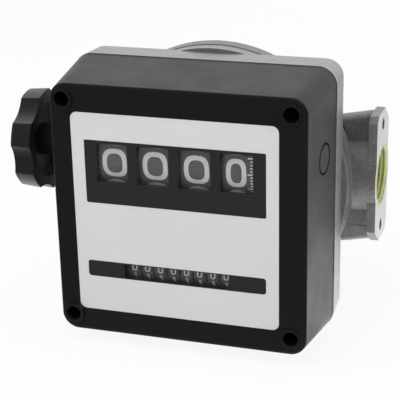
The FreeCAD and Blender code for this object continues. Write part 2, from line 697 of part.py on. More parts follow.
# ---------------------------------------------------------------- counter wheels
class Counter:
    """Sizes of one row of drum wheels and of the pinions that carry between them."""

    def __init__(self, centre, pinion, angle, direction, module, radius, width, pitch, bore, rim):
        self.centre = centre
        self.direction = direction
        self.pinion = pinion
        self.angle = math.radians(angle)
        self.module = module
        self.radius = radius
        self.width = width
        self.pitch = pitch
        self.bore = bore
        self.rim = rim
        self.gap = pitch - width
        self.face = self.gap / 2 - 0.35
        self.lock_radius = self.locking_radius()

    def locking_radius(self):
        """Largest ring that clears two full pinion teeth 45 degrees off the line of centres."""
        distance = pitch_radius(WHEEL_TEETH + PINION_TEETH, self.module)
        tip = pitch_radius(PINION_TEETH, self.module) + ADDENDUM * self.module
        half = math.pi * self.module / 4
        angle = math.pi / 4 - half / tip
        reach = math.hypot(distance - tip * math.cos(angle), tip * math.sin(angle))
        return reach - 0.1 * self.module

    def wheel(self, x, carries, driven):
        """Drum about the X axis. carries adds the two tooth segment, driven the ring gear."""
        left = x - self.width / 2
        right = x + self.width / 2
        web = self.width * 0.12
        drum = tube(X, vec(left, *self.centre), self.radius, self.radius - self.rim, self.width)
        disc = tube(X, vec(x - web, *self.centre), self.radius - self.rim / 2, self.bore, 2 * web)
        hub = tube(X, vec(left, *self.centre), self.bore + self.rim, self.bore, self.width)
        parts = [drum, disc, hub]
        if driven:
            ring = gear(WHEEL_TEETH, self.module, self.ring_phase(), self.face + self.rim)
            hole = rod(Z, ORIGIN, self.lock_radius - 2.2 * self.module, self.face + self.rim)
            parts.append(put_x(ring.cut(hole), self.centre, right - self.rim))
            parts.append(self.end_disc(right - self.rim))
        if carries:
            parts.append(put_x(self.carry_segment(self.face + self.rim), self.centre, left - self.face))
            parts.append(self.end_disc(left))
        return fuse(parts)

    def ring_phase(self):
        """A gap of the ring gear lies on the line of centres, so a short pinion tooth does too."""
        return self.angle + math.pi / WHEEL_TEETH

    def end_disc(self, x):
        """Closing disc that joins the ring on a drum's end to the drum."""
        inner = self.lock_radius - 2.2 * self.module
        return tube(X, vec(x, *self.centre), self.radius - self.rim / 2, inner, self.rim)

    def carry_segment(self, face):
        """Locking ring with a notch that holds the two carry teeth, just past the pinion."""
        ring = rod(Z, ORIGIN, self.lock_radius, face)
        pitch_angle = 2 * math.pi / WHEEL_TEETH
        middle = self.angle + self.direction * 2.0 * pitch_angle
        root = pitch_radius(WHEEL_TEETH, self.module) - DEDENDUM * self.module
        outer = self.lock_radius * 1.2
        angles = [middle + k * pitch_angle for k in (-1.1, 0, 1.1)]
        points = [ORIGIN] + [vec(outer * math.cos(a), outer * math.sin(a), 0) for a in angles]
        sector = Part.Face(Part.makePolygon(points + points[:1])).extrude(Z * face)
        notch = sector.cut(rod(Z, ORIGIN, root, face))
        pair = gear(WHEEL_TEETH, self.module, middle + pitch_angle / 2, face, keep=(0, WHEEL_TEETH - 1))
        hole = rod(Z, ORIGIN, root - 1.1 * self.module, face)
        return fuse([ring.cut(notch), pair.common(sector)]).cut(hole)

    def transfer_pinion(self, x):
        """Pinion in the gap left of the wheel at x: eight teeth to the left, four long ones to the right."""
        middle = x - self.pitch / 2
        phase = mesh_phase(
            (0, 0), self.ring_phase(), WHEEL_TEETH, self.offset(), PINION_TEETH, self.module
        )
        left = gear(PINION_TEETH, self.module, phase, self.face)
        right = gear(PINION_TEETH, self.module, phase, self.face + 0.3, keep=(0, 2, 4, 6))
        body = fuse(
            [
                put_x(left, self.pinion, middle - self.face - 0.1),
                put_x(right, self.pinion, middle - 0.1),
            ]
        )
        return body.cut(rod_x(self.pinion, middle - self.pitch, middle + self.pitch, self.pin_bore()))

    def offset(self):
        return (self.pinion[0] - self.centre[0], self.pinion[1] - self.centre[1])

    def pin_radius(self):
        distance = pitch_radius(WHEEL_TEETH + PINION_TEETH, self.module)
        return min(0.9 * self.module, distance - self.radius - 0.3)

    def pin_bore(self):
        return self.pin_radius() + RUNNING_GAP


NUMBERS = Counter(
    NUMBER, NUMBER_PINION, PINION_ANGLE, 1, NUMBER_MODULE, WHEEL_RADIUS, WHEEL_WIDTH, WHEEL_PITCH,
    RESET_SHAFT_RADIUS + RUNNING_GAP, 2.0,
)
TOTALS = Counter(
    TOTAL, TOTAL_PINION, TOTAL_PINION_ANGLE, -1, TOTAL_MODULE, TOTAL_RADIUS, TOTAL_WIDTH, TOTAL_PITCH,
    TOTAL_ROD_RADIUS + RUNNING_GAP, 0.9,
)


def counter_wheels(counter, units_x, count):
    return [counter.wheel(units_x - i * counter.pitch, i < count - 1, i > 0) for i in range(count)]


def counter_pinions(counter, units_x, count):
    return [counter.transfer_pinion(units_x - i * counter.pitch) for i in range(count - 1)]


# ---------------------------------------------------------------- gear train
PINION_PHASE = math.pi / 2
REDUCER_PHASE = mesh_phase(
    CRANK, PINION_PHASE, TRAIN_PINION_TEETH, REDUCER, TRAIN_WHEEL_TEETH, TRAIN_MODULE
)
CROSS_PHASE = 0.0
CLUSTER_PHASE = mesh_phase(
    CROSS, CROSS_PHASE, TRAIN_PINION_TEETH, CLUSTER, TRAIN_WHEEL_TEETH, TRAIN_MODULE
)
FINAL_PHASE = mesh_phase(CLUSTER, 0.0, FINAL_PINION_TEETH, NUMBER, FINAL_WHEEL_TEETH, FINAL_MODULE)
IDLER_PHASE = mesh_phase(CLUSTER, 0.0, FINAL_PINION_TEETH, IDLER, TOTAL_IDLER_TEETH, TOTAL_GEAR_MODULE)
TOTAL_GEAR_PHASE = mesh_phase(
    IDLER, IDLER_PHASE, TOTAL_IDLER_TEETH, TOTAL, FINAL_WHEEL_TEETH, TOTAL_GEAR_MODULE
)
BEVEL_STEP = math.pi / BEVEL_TEETH


def reducer_gear():
    """Large spur gear and bevel pinion moulded together, on a fixed stud."""
    wheel = gear(TRAIN_WHEEL_TEETH, TRAIN_MODULE, REDUCER_PHASE, TRAIN_FACE)
    wheel = put_y(wheel, REDUCER, TRAIN_FRONT_Y)
    small = bevel(BEVEL_TEETH, BEVEL_MODULE, BEVEL_FACE, 0.0, BEVEL_PITCH - 1.3)
    small = put_y(small, REDUCER, BEVEL_Y)
    hub_start = BEVEL_Y + BEVEL_PITCH
    hub_length = TRAIN_FRONT_Y + TRAIN_FACE - hub_start
    hub = rod(Y, vec(REDUCER[1], hub_start, REDUCER[0]), BEVEL_PITCH - 1.3, hub_length)
    bore = rod(Y, vec(REDUCER[1], BEVEL_Y, REDUCER[0]), ROD_RADIUS + RUNNING_GAP, -BEVEL_Y)
    holes = [
        rod(Y, vec(REDUCER[1] + a, TRAIN_FRONT_Y, REDUCER[0] + b), GEAR_HOLE_RADIUS, TRAIN_FACE)
        for a, b in on_circle(GEAR_HOLE_CIRCLE, GEAR_HOLES)
    ]
    return cut(fuse([wheel, small, hub]), [bore] + holes)


def reducer_stud():
    start = BEVEL_Y + BEVEL_PITCH - BEVEL_FACE
    return rod(Y, vec(REDUCER[1], start, REDUCER[0]), ROD_RADIUS, FLOOR_Y + BASE_FLOOR / 2 - start)


def cross_shaft():
    """Shaft across the register with the second bevel gear and a spur pinion."""
    shaft = rod_x(CROSS, -PLATE_X - PLATE_SHEET, PLATE_X + PLATE_SHEET, ROD_RADIUS - RUNNING_GAP)
    bevel_gear = put_x(bevel(BEVEL_TEETH, BEVEL_MODULE, BEVEL_FACE, BEVEL_STEP, 3.8), CROSS, 0.0)
    pinion = put_x(gear(TRAIN_PINION_TEETH, TRAIN_MODULE, CROSS_PHASE, CLUSTER_FACE), CROSS, CLUSTER_X)
    return fuse([shaft, bevel_gear, pinion])


def cluster_gear():
    """Compound gear: large wheel, pinion for the counter and fine pinion for the totaliser."""
    shaft = rod_x(CLUSTER, -PLATE_X - PLATE_SHEET, PLATE_X + PLATE_SHEET, ROD_RADIUS - RUNNING_GAP)
    wheel = gear(TRAIN_WHEEL_TEETH, TRAIN_MODULE, CLUSTER_PHASE, CLUSTER_FACE)
    places = on_circle(GEAR_HOLE_CIRCLE, GEAR_HOLES)
    wheel = cut(wheel, [rod(Z, vec(a, b, 0), GEAR_HOLE_RADIUS, CLUSTER_FACE) for a, b in places])
    final = gear(FINAL_PINION_TEETH, FINAL_MODULE, 0.0, FINAL_FACE + 0.4)
    fine = gear(FINAL_PINION_TEETH, TOTAL_GEAR_MODULE, 0.0, TOTAL_DRIVE_FACE + 0.4)
    return fuse(
        [
            shaft,
            put_x(wheel, CLUSTER, CLUSTER_X),
            put_x(final, CLUSTER, FINAL_X),
            rod_x(CLUSTER, CLUSTER_X - 0.4, TOTAL_DRIVE_X - 0.4, 4.0),
            put_x(fine, CLUSTER, TOTAL_DRIVE_X - 0.4),
        ]
    )


def counter_drive_gear():
    """Gear on the units wheel, turned by the cluster."""
    wheel = gear(FINAL_WHEEL_TEETH, FINAL_MODULE, FINAL_PHASE, FINAL_FACE)
    wheel = put_x(wheel, NUMBER, FINAL_X)
    hub = rod_x(NUMBER, WHEEL_END_X, FINAL_X, 8.0)
    return cut(fuse([wheel, hub]), [rod_x(NUMBER, 0, FRONT_WIDTH, RESET_SHAFT_RADIUS + RUNNING_GAP)])


def total_idler():
    wheel = gear(TOTAL_IDLER_TEETH, TOTAL_GEAR_MODULE, IDLER_PHASE, TOTAL_DRIVE_FACE)
    wheel = put_x(wheel, IDLER, TOTAL_DRIVE_X)
    return cut(wheel, [rod_x(IDLER, 0, FRONT_WIDTH, ROD_RADIUS + RUNNING_GAP)])


def idler_stud():
    head = rod_x(IDLER, TOTAL_DRIVE_X - 1.0, TOTAL_DRIVE_X - 0.2, ROD_RADIUS + 1.2)
    return fuse([head, rod_x(IDLER, TOTAL_DRIVE_X - 0.2, PLATE_X + PLATE_SHEET, ROD_RADIUS)])


def total_drive_gear():
    """Gear and sleeve that turn the totaliser's units wheel."""
    wheel = gear(FINAL_WHEEL_TEETH, TOTAL_GEAR_MODULE, TOTAL_GEAR_PHASE, TOTAL_DRIVE_FACE)
    wheel = put_x(wheel, TOTAL, TOTAL_DRIVE_X)
    sleeve = rod_x(TOTAL, TOTAL_UNITS_X + TOTAL_WIDTH / 2, TOTAL_DRIVE_X, TOTAL_ROD_RADIUS + 1.6)
    return cut(fuse([wheel, sleeve]), [rod_x(TOTAL, 0, FRONT_WIDTH, TOTAL_ROD_RADIUS + RUNNING_GAP)])


def through_rod(centre, radius):
    return rod_x(centre, -PLATE_X - PLATE_SHEET, PLATE_X + PLATE_SHEET, radius)


SHAFT_HOLES = (
    (NUMBER, RESET_SHAFT_RADIUS + RUNNING_GAP),
    (NUMBER_PINION, NUMBERS.pin_bore()),
    (CROSS, ROD_RADIUS),
    (CLUSTER, ROD_RADIUS),
    (TOTAL, TOTAL_ROD_RADIUS + RUNNING_GAP),
    (TOTAL_PINION, TOTALS.pin_bore()),
)


def plate_outline():
    """Side plate outline (y, z) round all the shafts."""
    back = FLOOR_Y - PLATE_SHEET
    top = NUMBER_PINION[1] + 5.0
    low = TOTAL[1] - 9.0
    return [
        (back, -FOOT_Z - FOOT_HEIGHT / 2),
        (back, FOOT_Z + FOOT_HEIGHT / 2),
        (NUMBER_PINION[0] - 6.0, top),
        (NUMBER[0] - 8.0, NUMBER[1] + 12.0),
        (NUMBER[0] - 9.0, NUMBER[1] - 8.0),
        (CLUSTER[0] - 6.0, CLUSTER[1] - 6.0),
        (TOTAL[0] - 7.0, TOTAL[1] + 7.0),
        (TOTAL[0] - 7.0, low),
        (CROSS[0] - 8.0, low),
    ]


def register_plate(side):
    """Sheet side plate with two feet bent inwards on the casting floor."""
    x = PLATE_X if side > 0 else -PLATE_X - PLATE_SHEET
    points = [vec(x, y, z) for y, z in plate_outline()]
    sheet = Part.Face(Part.makePolygon(points + points[:1])).extrude(X * PLATE_SHEET)
    feet = []
    holes = []
    for z in (-FOOT_Z, FOOT_Z):
        start = PLATE_X - FOOT_LENGTH if side > 0 else -PLATE_X - PLATE_SHEET
        feet.append(
            Part.makeBox(
                FOOT_LENGTH + PLATE_SHEET, PLATE_SHEET, FOOT_HEIGHT,
                vec(start, FLOOR_Y - PLATE_SHEET, z - FOOT_HEIGHT / 2),
            )
        )
        hole = vec(side * foot_x(), FLOOR_Y - 2 * PLATE_SHEET, z)
        holes.append(rod(Y, hole, M3_CLEARANCE, 3 * PLATE_SHEET))
    for centre, radius in SHAFT_HOLES:
        holes.append(rod_x(centre, x - 1.0, x + PLATE_SHEET + 1.0, radius))
    if side > 0:
        holes.append(rod_x(IDLER, x - 1.0, x + PLATE_SHEET + 1.0, ROD_RADIUS + PRESS_GAP))
    return cut(fuse([sheet] + feet), holes)


def foot_x():
    return PLATE_X - FOOT_LENGTH / 2


def register_screws():
    seats = [
        vec(side * foot_x(), FLOOR_Y - PLATE_SHEET, z) for side in (-1, 1) for z in (-FOOT_Z, FOOT_Z)
    ]
    return Part.makeCompound(
        [
            screw(Y, seat, M3_RADIUS, REGISTER_SCREW_LENGTH, M3_HEAD_RADIUS, REGISTER_SCREW_HEAD)
            for seat in seats
        ]
    )


# ---------------------------------------------------------------- castings
def base_size(extra):
    """Width, height and corner radius of the base casting, grown by extra from the housing's back."""
    width = FRONT_WIDTH + 2 * (SIDE_DRAFT + extra)
    height = FRONT_HEIGHT + 2 * (SIDE_DRAFT + extra)
    return (width, height, BACK_CORNER + 0.5 + extra)


def register_base():
    """Front casting: square pan that carries the register, and the round flange behind it."""
    front = base_size(BASE_OVERHANG)
    back = base_size(BASE_OVERHANG - BASE_DRAFT)
    pan = drafted(front, back, BASE_FRONT_Y, BASE_BACK_Y)
    width, height, corner = back
    inside = slab(
        width - 2 * BASE_WALL, height - 2 * BASE_WALL, corner - BASE_WALL, BASE_FRONT_Y,
        BASE_DEPTH - BASE_FLOOR,
    )
    bosses = [
        rod(Y, vec(x, BASE_FRONT_Y, z), TOWER_RADIUS, BASE_DEPTH - BASE_FLOOR / 2) for x, z in screw_places()
    ]
    bosses = [boss.common(pan) for boss in bosses]
    flange = rod(Y, vec(0, BASE_BACK_Y - 1.5, 0), BASE_FLANGE_RADIUS, BASE_FLANGE + 1.5)
    neck_radius = SHAFT_BUSH_RADIUS + SHAFT_BOSS_WALL
    neck = rod(Y, vec(0, FLOOR_Y - BOSS_RISE, 0), neck_radius, BASE_FLOOR + BOSS_RISE)
    stud_boss = rod(Y, vec(REDUCER[1], FLOOR_Y - BOSS_RISE, REDUCER[0]), STUD_BOSS_RADIUS, BASE_FLOOR)
    recess = rod(Y, vec(0, BASE_BACK_Y, 0), CAVITY_RADIUS - 2.0, BASE_FLANGE + 1.0)
    body = fuse([pan.cut(inside)] + bosses + [flange.cut(recess), neck, stud_boss])
    clamp_y = CENTRE.y - LUG_THICKNESS / 2
    post_y = BASE_BACK_Y - 1.0
    posts = [rod(Y, vec(x, post_y, z), LUG_RADIUS, clamp_y - post_y) for x, z in lug_places()]
    body = fuse([body] + posts)
    holes = []
    holes.append(rod(Y, vec(0, BASE_FRONT_Y, 0), SHAFT_BUSH_RADIUS + PRESS_GAP, BASE_DEPTH + 2.0))
    stud = vec(REDUCER[1], FLOOR_Y - BOSS_RISE, REDUCER[0])
    holes.append(rod(Y, stud, ROD_RADIUS + PRESS_GAP, BOSS_RISE + BASE_FLOOR / 2))
    for x, z in screw_places():
        holes.append(rod(Y, vec(x, BASE_FRONT_Y, z), M3_CORE, BASE_DEPTH - BASE_FLOOR))
    for side in (-1, 1):
        for z in (-FOOT_Z, FOOT_Z):
            holes.append(rod(Y, vec(side * foot_x(), FLOOR_Y, z), M3_CORE, REGISTER_SCREW_HOLE))
    for a, b in bolt_places():
        holes.append(rod(Y, vec(a, BASE_BACK_Y - BOLT_TIP, b), M5_RADIUS, BASE_FLANGE + BOLT_TIP))
    return cut(body, holes)


def bolt_places():
    return on_circle(BOLT_CIRCLE, FLANGE_BOLTS, math.pi / FLANGE_BOLTS)


def housing_gasket():
    """Flat gasket between the housing and the base casting."""
    width = FRONT_WIDTH + 2 * SIDE_DRAFT - 1.0
    height = FRONT_HEIGHT + 2 * SIDE_DRAFT - 1.0
    corner = BACK_CORNER - 0.5
    sheet = slab(width, height, corner, HOUSING_BACK_Y, GASKET)
    inside = slab(width - 5.0, height - 5.0, corner - 2.5, HOUSING_BACK_Y, GASKET)
    pads = [rod(Y, vec(x, HOUSING_BACK_Y, z), TOWER_RADIUS, GASKET).common(sheet) for x, z in screw_places()]
    holes = [rod(Y, vec(x, HOUSING_BACK_Y, z), M3_CLEARANCE, GASKET) for x, z in screw_places()]
    return cut(fuse([sheet.cut(inside)] + pads), holes)


def port_flange(side):
    """Upright flange plate at a port, with two large and two small cut corners."""
    w = PORT_FLANGE_WIDTH / 2
    h = PORT_FLANGE_HEIGHT / 2
    long_cut, high_cut = PORT_FLANGE_CUT
    c = PORT_FLANGE_CHAMFER
    half = [(w - long_cut, h), (w, h - high_cut), (w, c - h), (w - c, -h)]
    outline = half + [(-y, -z) for y, z in half]
    x = side * PORT_FACE_X
    points = [vec(x, -PORT_DEPTH + y, z) for y, z in outline]
    return Part.Face(Part.makePolygon(points + points[:1])).extrude(X * (-side * PORT_FLANGE_PLATE))


def port(side):
    """Neck, flange and the round-edged rib that ties the flange to the bowl."""
    inward = X * (-side)
    face = vec(side * PORT_FACE_X, -PORT_DEPTH, 0)
    length = PORT_FACE_X - BOWL_RADIUS + NECK_OVERRUN
    radius = RIB_THICKNESS / 2
    top = RIB_TOP - radius
    bottom = radius - RIB_BOTTOM
    start = face + inward
    rib = Part.makeBox(
        length - 1.0, RIB_THICKNESS, top - bottom,
        vec(min(start.x, start.x - side * (length - 1.0)), -PORT_DEPTH - radius, bottom),
    )
    edges = [rod(inward, start + Z * z, radius, length - 1.0) for z in (bottom, top)]
    return [rod(inward, face, NECK_RADIUS, length), rib, port_flange(side)] + edges


def port_cuts(side):
    inward = X * (-side)
    face = vec(side * PORT_FACE_X, -PORT_DEPTH, 0)
    cuts = [
        rod(inward, face, PORT_BORE_RADIUS, PORT_FACE_X - CAVITY_RADIUS + NECK_OVERRUN),
        rod(inward, face, INSERT_RADIUS + PRESS_GAP, INSERT_LENGTH),
    ]
    for z in (-PORT_HOLE_SPACING / 2, PORT_HOLE_SPACING / 2):
        cuts.append(rod(inward, face + Z * z, PORT_HOLE_RADIUS, PORT_HOLE_DEPTH))
    return cuts


def mount_places():
    """Inner ends of the four tapped holes in the rear mounting pad."""
    half = MOUNT_SPACING / 2
    return [vec(a * half, -MOUNT_HOLE_DEPTH, b * half) for a in (-1, 1) for b in (-1, 1)]


def meter_body():
    """Rear casting: drafted bowl, round flange, two ports and the rear mounting pad."""
    back = -REAR_CASTING_DEPTH
    bowl = revolved_y(
        [
            (0, 0), (REAR_PAD_RADIUS, 0), (BOWL_RADIUS - BOWL_DRAFT, -BOWL_SHOULDER), (BOWL_RADIUS, back),
            (FLANGE_RADIUS, back), (FLANGE_RADIUS - FLANGE_EDGE_DRAFT, JOINT_Y), (0, JOINT_Y),
        ]
    )
    body = fuse([bowl] + port(-1) + port(1))
    cavity = revolved_y(
        [
            (0, -REAR_FLOOR), (CAVITY_RADIUS - BOWL_DRAFT - CAVITY_CORNER, -REAR_FLOOR),
            (CAVITY_RADIUS - BOWL_DRAFT, -REAR_FLOOR - CAVITY_CORNER),
            (CAVITY_RADIUS, JOINT_Y), (0, JOINT_Y),
        ]
    )
    bosses = [
        rod(Y, place - Y * MOUNT_BOSS_CAP, MOUNT_BOSS_RADIUS, MOUNT_HOLE_DEPTH) for place in mount_places()
    ]
    seat_y = CENTRE.y + LUG_THICKNESS / 2
    posts = [rod(Y, vec(x, seat_y, z), LUG_RADIUS, -seat_y - REAR_FLOOR / 2) for x, z in lug_places()]
    body = fuse([body.cut(cavity)] + bosses + posts)
    holes = port_cuts(-1) + port_cuts(1)
    for place in mount_places():
        holes.append(rod(Y, place, MOUNT_HOLE_RADIUS, MOUNT_HOLE_DEPTH))
    for a, b in bolt_places():
        holes.append(rod(Y, vec(a, JOINT_Y, b), M5_CLEARANCE, REAR_FLANGE))
        holes.append(rod(Y, vec(a, back, b), M5_HEAD_RADIUS + BOLT_RECESS_GAP, REAR_CASTING_DEPTH / 3))
    holes.append(seal_ring(RUNNING_GAP))
    return cut(body, holes)


def seal_ring(clearance):
    """Square section ring let into the rear casting's joint face."""
    outer = O_RING_RADIUS + O_RING_CORD + clearance
    inner = O_RING_RADIUS - O_RING_CORD - clearance
    return tube(Y, vec(0, JOINT_Y, 0), outer, inner, 2 * O_RING_CORD)


def flange_screws():
    """Screws through the rear flange into the base casting."""
    seats = [vec(a, -REAR_CASTING_DEPTH, b) for a, b in bolt_places()]
    length = REAR_FLANGE + BASE_FLANGE + BOLT_GRIP
    return Part.makeCompound(
        [screw(-Y, seat, M5_RADIUS - RUNNING_GAP, length, M5_HEAD_RADIUS, M5_HEAD) for seat in seats]
    )


def port_insert(side):
    """Plastic thread insert with a thin collar at the port's mouth."""
    inward = X * (-side)
    start = vec(side * PORT_FACE_X, -PORT_DEPTH, 0)
    return tube(inward, start, INSERT_RADIUS, INSERT_BORE_RADIUS, INSERT_LENGTH)


# ---------------------------------------------------------------- measuring chamber
def chamber_space():
    """Space swept by the disc: a sphere between two cones, about the ball centre."""
    lift = (DISC_SHEET / 2 + CHAMBER_GAP) / math.cos(TILT_ANGLE)
    reach = DISC_RADIUS + 8.0
    top = lift + reach * math.tan(TILT_ANGLE)
    wedge = revolved_y([(0, -lift), (reach, -top), (reach, top), (0, lift)])
    sphere = Part.makeSphere(DISC_RADIUS + CHAMBER_GAP)
    ball = Part.makeSphere(BALL_RADIUS + CHAMBER_GAP)
    return moved(wedge.common(sphere).fuse(ball), 0, CENTRE.y, 0)


def chamber_solid():
    outer = DISC_RADIUS + CHAMBER_WALL
    hub = BALL_RADIUS + CHAMBER_WALL
    half = CHAMBER_HALF
    profile = [
        (0, -half), (hub, -half), (outer - 2.0, -half + 2.5), (outer, -half + 5.0),
        (outer, half - 5.0), (outer - 2.0, half - 2.5), (hub, half), (0, half),
    ]
    body = revolved_y([(r, CENTRE.y + y) for r, y in profile])
    body = fuse([body] + [chamber_lug(x, z) for x, z in lug_places()])
    slot = Part.makeBox(
        PARTITION, 2 * half, outer + 6.0, vec(-PARTITION / 2, CENTRE.y - half, -outer - 6.0)
    )
    windows = [
        Part.makeBox(
            CHAMBER_OPENING_WIDTH, CHAMBER_OPENING_DEPTH, CHAMBER_OPENING_HEIGHT,
            vec(x, CENTRE.y - CHAMBER_OPENING_DEPTH / 2, -outer - CHAMBER_OPENING_SINK),
        )
        for x in (-CHAMBER_OPENING_X - CHAMBER_OPENING_WIDTH, CHAMBER_OPENING_X)
    ]
    height = half + CHUTE_OVERRUN
    mouth = CHUTE_RADIUS + height * math.tan(TILT_ANGLE) + SPINDLE_RADIUS
    chute = Part.makeCone(CHUTE_RADIUS, mouth, height, CENTRE, -Y)
    return cut(body, [chamber_space(), slot.common(partition_window()), chute] + windows)


def lug_places():
    """Ear centres, set in from the drafted cavity wall."""
    slope = BOWL_DRAFT / (REAR_CASTING_DEPTH + REAR_FLANGE - REAR_FLOOR)
    wall = CAVITY_RADIUS - slope * (CENTRE.y - JOINT_Y)
    return on_circle(wall - LUG_RADIUS - LUG_GAP, 4, math.pi / 4)


def chamber_lug(x, z):
    """Ear on the chamber, clamped between a post in each casting."""
    start = vec(x, CENTRE.y - LUG_THICKNESS / 2, z)
    ear = rod(Y, start, LUG_RADIUS, LUG_THICKNESS)
    arm = Part.makeBox(math.hypot(x, z), LUG_THICKNESS, 2 * LUG_RADIUS, vec(0, start.y, -LUG_RADIUS))
    arm.rotate(ORIGIN, Y, -math.degrees(math.atan2(z, x)))
    inner = rod(Y, vec(0, start.y, 0), DISC_RADIUS + CHAMBER_WALL - 1.0, LUG_THICKNESS)
    return fuse([ear, arm.cut(inner)])


def partition_window():
    """Where the partition plate is let into the chamber wall."""
    reach = DISC_RADIUS + 2.0
    return Part.makeBox(10.0, 2 * partition_half(), reach, vec(-5.0, CENTRE.y - partition_half(), -reach))


def partition_half():
    return (DISC_RADIUS + 2.0) * math.tan(TILT_ANGLE) + DISC_SHEET / 2


def chamber_half(front):
    """Front or rear half of the measuring chamber, split at the ball centre."""
    big = 4 * DISC_RADIUS
    y = CENTRE.y - big / 2 if front else CENTRE.y
    keep = Part.makeBox(big, big / 2, big, vec(-big / 2, y, -big / 2))
    return chamber_solid().common(keep)


def partition_plate():
    """Fixed plate between the chamber's inlet and outlet, from the ball to the wall."""
    inner = BALL_RADIUS + 2 * CHAMBER_GAP
    outer = DISC_RADIUS + 1.8
    plate = Part.makeBox(
        PARTITION - 0.1, 2 * partition_half() - 0.2, outer - inner + 3.0,
        vec(-(PARTITION - 0.1) / 2, CENTRE.y - partition_half() + 0.1, -outer),
    )
    return plate.cut(Part.makeSphere(inner, CENTRE)).common(chamber_hollow())


def chamber_hollow():
    """Chamber space with the seat let into the wall for the partition."""
    return chamber_space().fuse(partition_window())


def nutating_disc():
    """Disc with ball and slot, tilted so that its pin leans towards +Z at rest."""
    sheet = rod(Y, vec(0, CENTRE.y - DISC_SHEET / 2, 0), DISC_RADIUS, DISC_SHEET)
    rim = Part.makeSphere(DISC_RADIUS, CENTRE)
    ball = Part.makeSphere(BALL_RADIUS, CENTRE)
    slot = Part.makeBox(
        DISC_SLOT, 2 * DISC_SHEET, DISC_RADIUS,
        vec(-DISC_SLOT / 2, CENTRE.y - DISC_SHEET, -DISC_RADIUS - 9.0),
    )
    body = fuse([sheet.common(rim), ball]).cut(slot)
    seat = rod(-Y, CENTRE + Y * 2.0, SPINDLE_RADIUS + PRESS_GAP, BALL_RADIUS + 4.0)
    return tilted(body.cut(seat))


def disc_spindle():
    start = CENTRE + Y * 2.0
    return tilted(rod(-Y, start, SPINDLE_RADIUS, SPINDLE_REACH + 2.0))


def tilted(shape):
    copy = shape.copy()
    copy.rotate(CENTRE, X, -TILT)
    return copy


def spindle_tip():
    reach = SPINDLE_REACH
    return vec(0, CENTRE.y - reach * math.cos(TILT_ANGLE), reach * math.sin(TILT_ANGLE))


def drive_shaft():
    """Crank disc with a slot for the disc's pin, on the shaft that leaves the wet side."""
    disc = rod(Y, vec(0, CRANK_Y, 0), CRANK_RADIUS, CRANK_THICKNESS)
    opening = Part.makeBox(
        2 * SPINDLE_RADIUS + 0.8, 3 * CRANK_THICKNESS, 2 * CRANK_RADIUS,
        vec(-SPINDLE_RADIUS - 0.4, CRANK_Y - CRANK_THICKNESS, spindle_tip().z - SPINDLE_RADIUS - 1.2),
    )
    shoulder = TRAIN_FRONT_Y + TRAIN_FACE
    shaft = rod(Y, vec(0, shoulder, 0), DRIVE_SHAFT_RADIUS, CRANK_Y - shoulder)
    seat = rod(Y, vec(0, TRAIN_FRONT_Y - 0.6, 0), PINION_SEAT_RADIUS, TRAIN_FACE + 0.6)
    return fuse([disc.cut(opening), shaft, seat])


def drive_pinion():
    pinion = put_y(gear(TRAIN_PINION_TEETH, TRAIN_MODULE, PINION_PHASE, TRAIN_FACE), CRANK, TRAIN_FRONT_Y)
    return pinion.cut(rod(Y, vec(0, TRAIN_FRONT_Y, 0), PINION_SEAT_RADIUS + PRESS_GAP, TRAIN_FACE))


def shaft_bush():
    """Bush in the base casting that carries the drive shaft."""
    start = vec(0, FLOOR_Y - BOSS_RISE, 0)
    return tube(Y, start, SHAFT_BUSH_RADIUS, DRIVE_SHAFT_RADIUS + RUNNING_GAP, BASE_FLOOR + BOSS_RISE)


# ---------------------------------------------------------------- parts list
def build():
    parts = {
        "counter_housing": counter_housing(),
        "faceplate": faceplate(),
        "number_mask": number_mask(),
        "total_mask": total_mask(),
        "dial_lenses": dial_lenses(),
        "housing_screws": housing_screws(),
        "side_plug": side_plug(),
        "reset_bush": reset_bush(),
        "reset_knob": reset_knob(),
        "knob_screw": knob_screw(),
        "reset_shaft": reset_shaft(),
        "pinion_rod": through_rod(NUMBER_PINION, NUMBERS.pin_radius()),
        "total_rod": through_rod(TOTAL, TOTAL_ROD_RADIUS),
        "total_pinion_rod": through_rod(TOTAL_PINION, TOTALS.pin_radius()),
        "counter_drive_gear": counter_drive_gear(),
        "cross_shaft": cross_shaft(),
        "cluster_gear": cluster_gear(),
        "total_idler": total_idler(),
        "total_drive_gear": total_drive_gear(),
        "reducer_gear": reducer_gear(),
        "gear_studs": Part.makeCompound([reducer_stud(), idler_stud()]),
        "drive_pinion": drive_pinion(),
        "register_plate_left": register_plate(-1),
        "register_plate_right": register_plate(1),
        "register_screws": register_screws(),
        "register_base": register_base(),
        "housing_gasket": housing_gasket(),
        "meter_body": meter_body(),
        "body_o_ring": seal_ring(0.0),
        "flange_screws": flange_screws(),
        "port_inserts": Part.makeCompound([port_insert(-1), port_insert(1)]),
        "chamber_front": chamber_half(True),
        "chamber_rear": chamber_half(False),
        "partition_plate": partition_plate(),
        "nutating_disc": nutating_disc(),
        "disc_spindle": disc_spindle(),
        "drive_shaft": drive_shaft(),
        "shaft_bush": shaft_bush(),
    }
    for i, wheel in enumerate(counter_wheels(NUMBERS, UNITS_WHEEL_X, WHEEL_COUNT)):
        parts[f"number_wheel_{i + 1}"] = wheel
    for i, pinion in enumerate(counter_pinions(NUMBERS, UNITS_WHEEL_X, WHEEL_COUNT)):
        parts[f"number_pinion_{i + 1}"] = pinion
    for i, wheel in enumerate(counter_wheels(TOTALS, TOTAL_UNITS_X, TOTAL_COUNT)):
        parts[f"total_wheel_{i + 1}"] = wheel
    for i, pinion in enumerate(counter_pinions(TOTALS, TOTAL_UNITS_X, TOTAL_COUNT)):
        parts[f"total_pinion_{i + 1}"] = pinion
    return parts


os.makedirs("parts", exist_ok=True)
for name, shape in build().items():
    shape.exportStep(f"parts/{name}.step")
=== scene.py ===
import json
import math
from collections import namedtuple

import bmesh
import bpy
from mathutils import Matrix, Vector

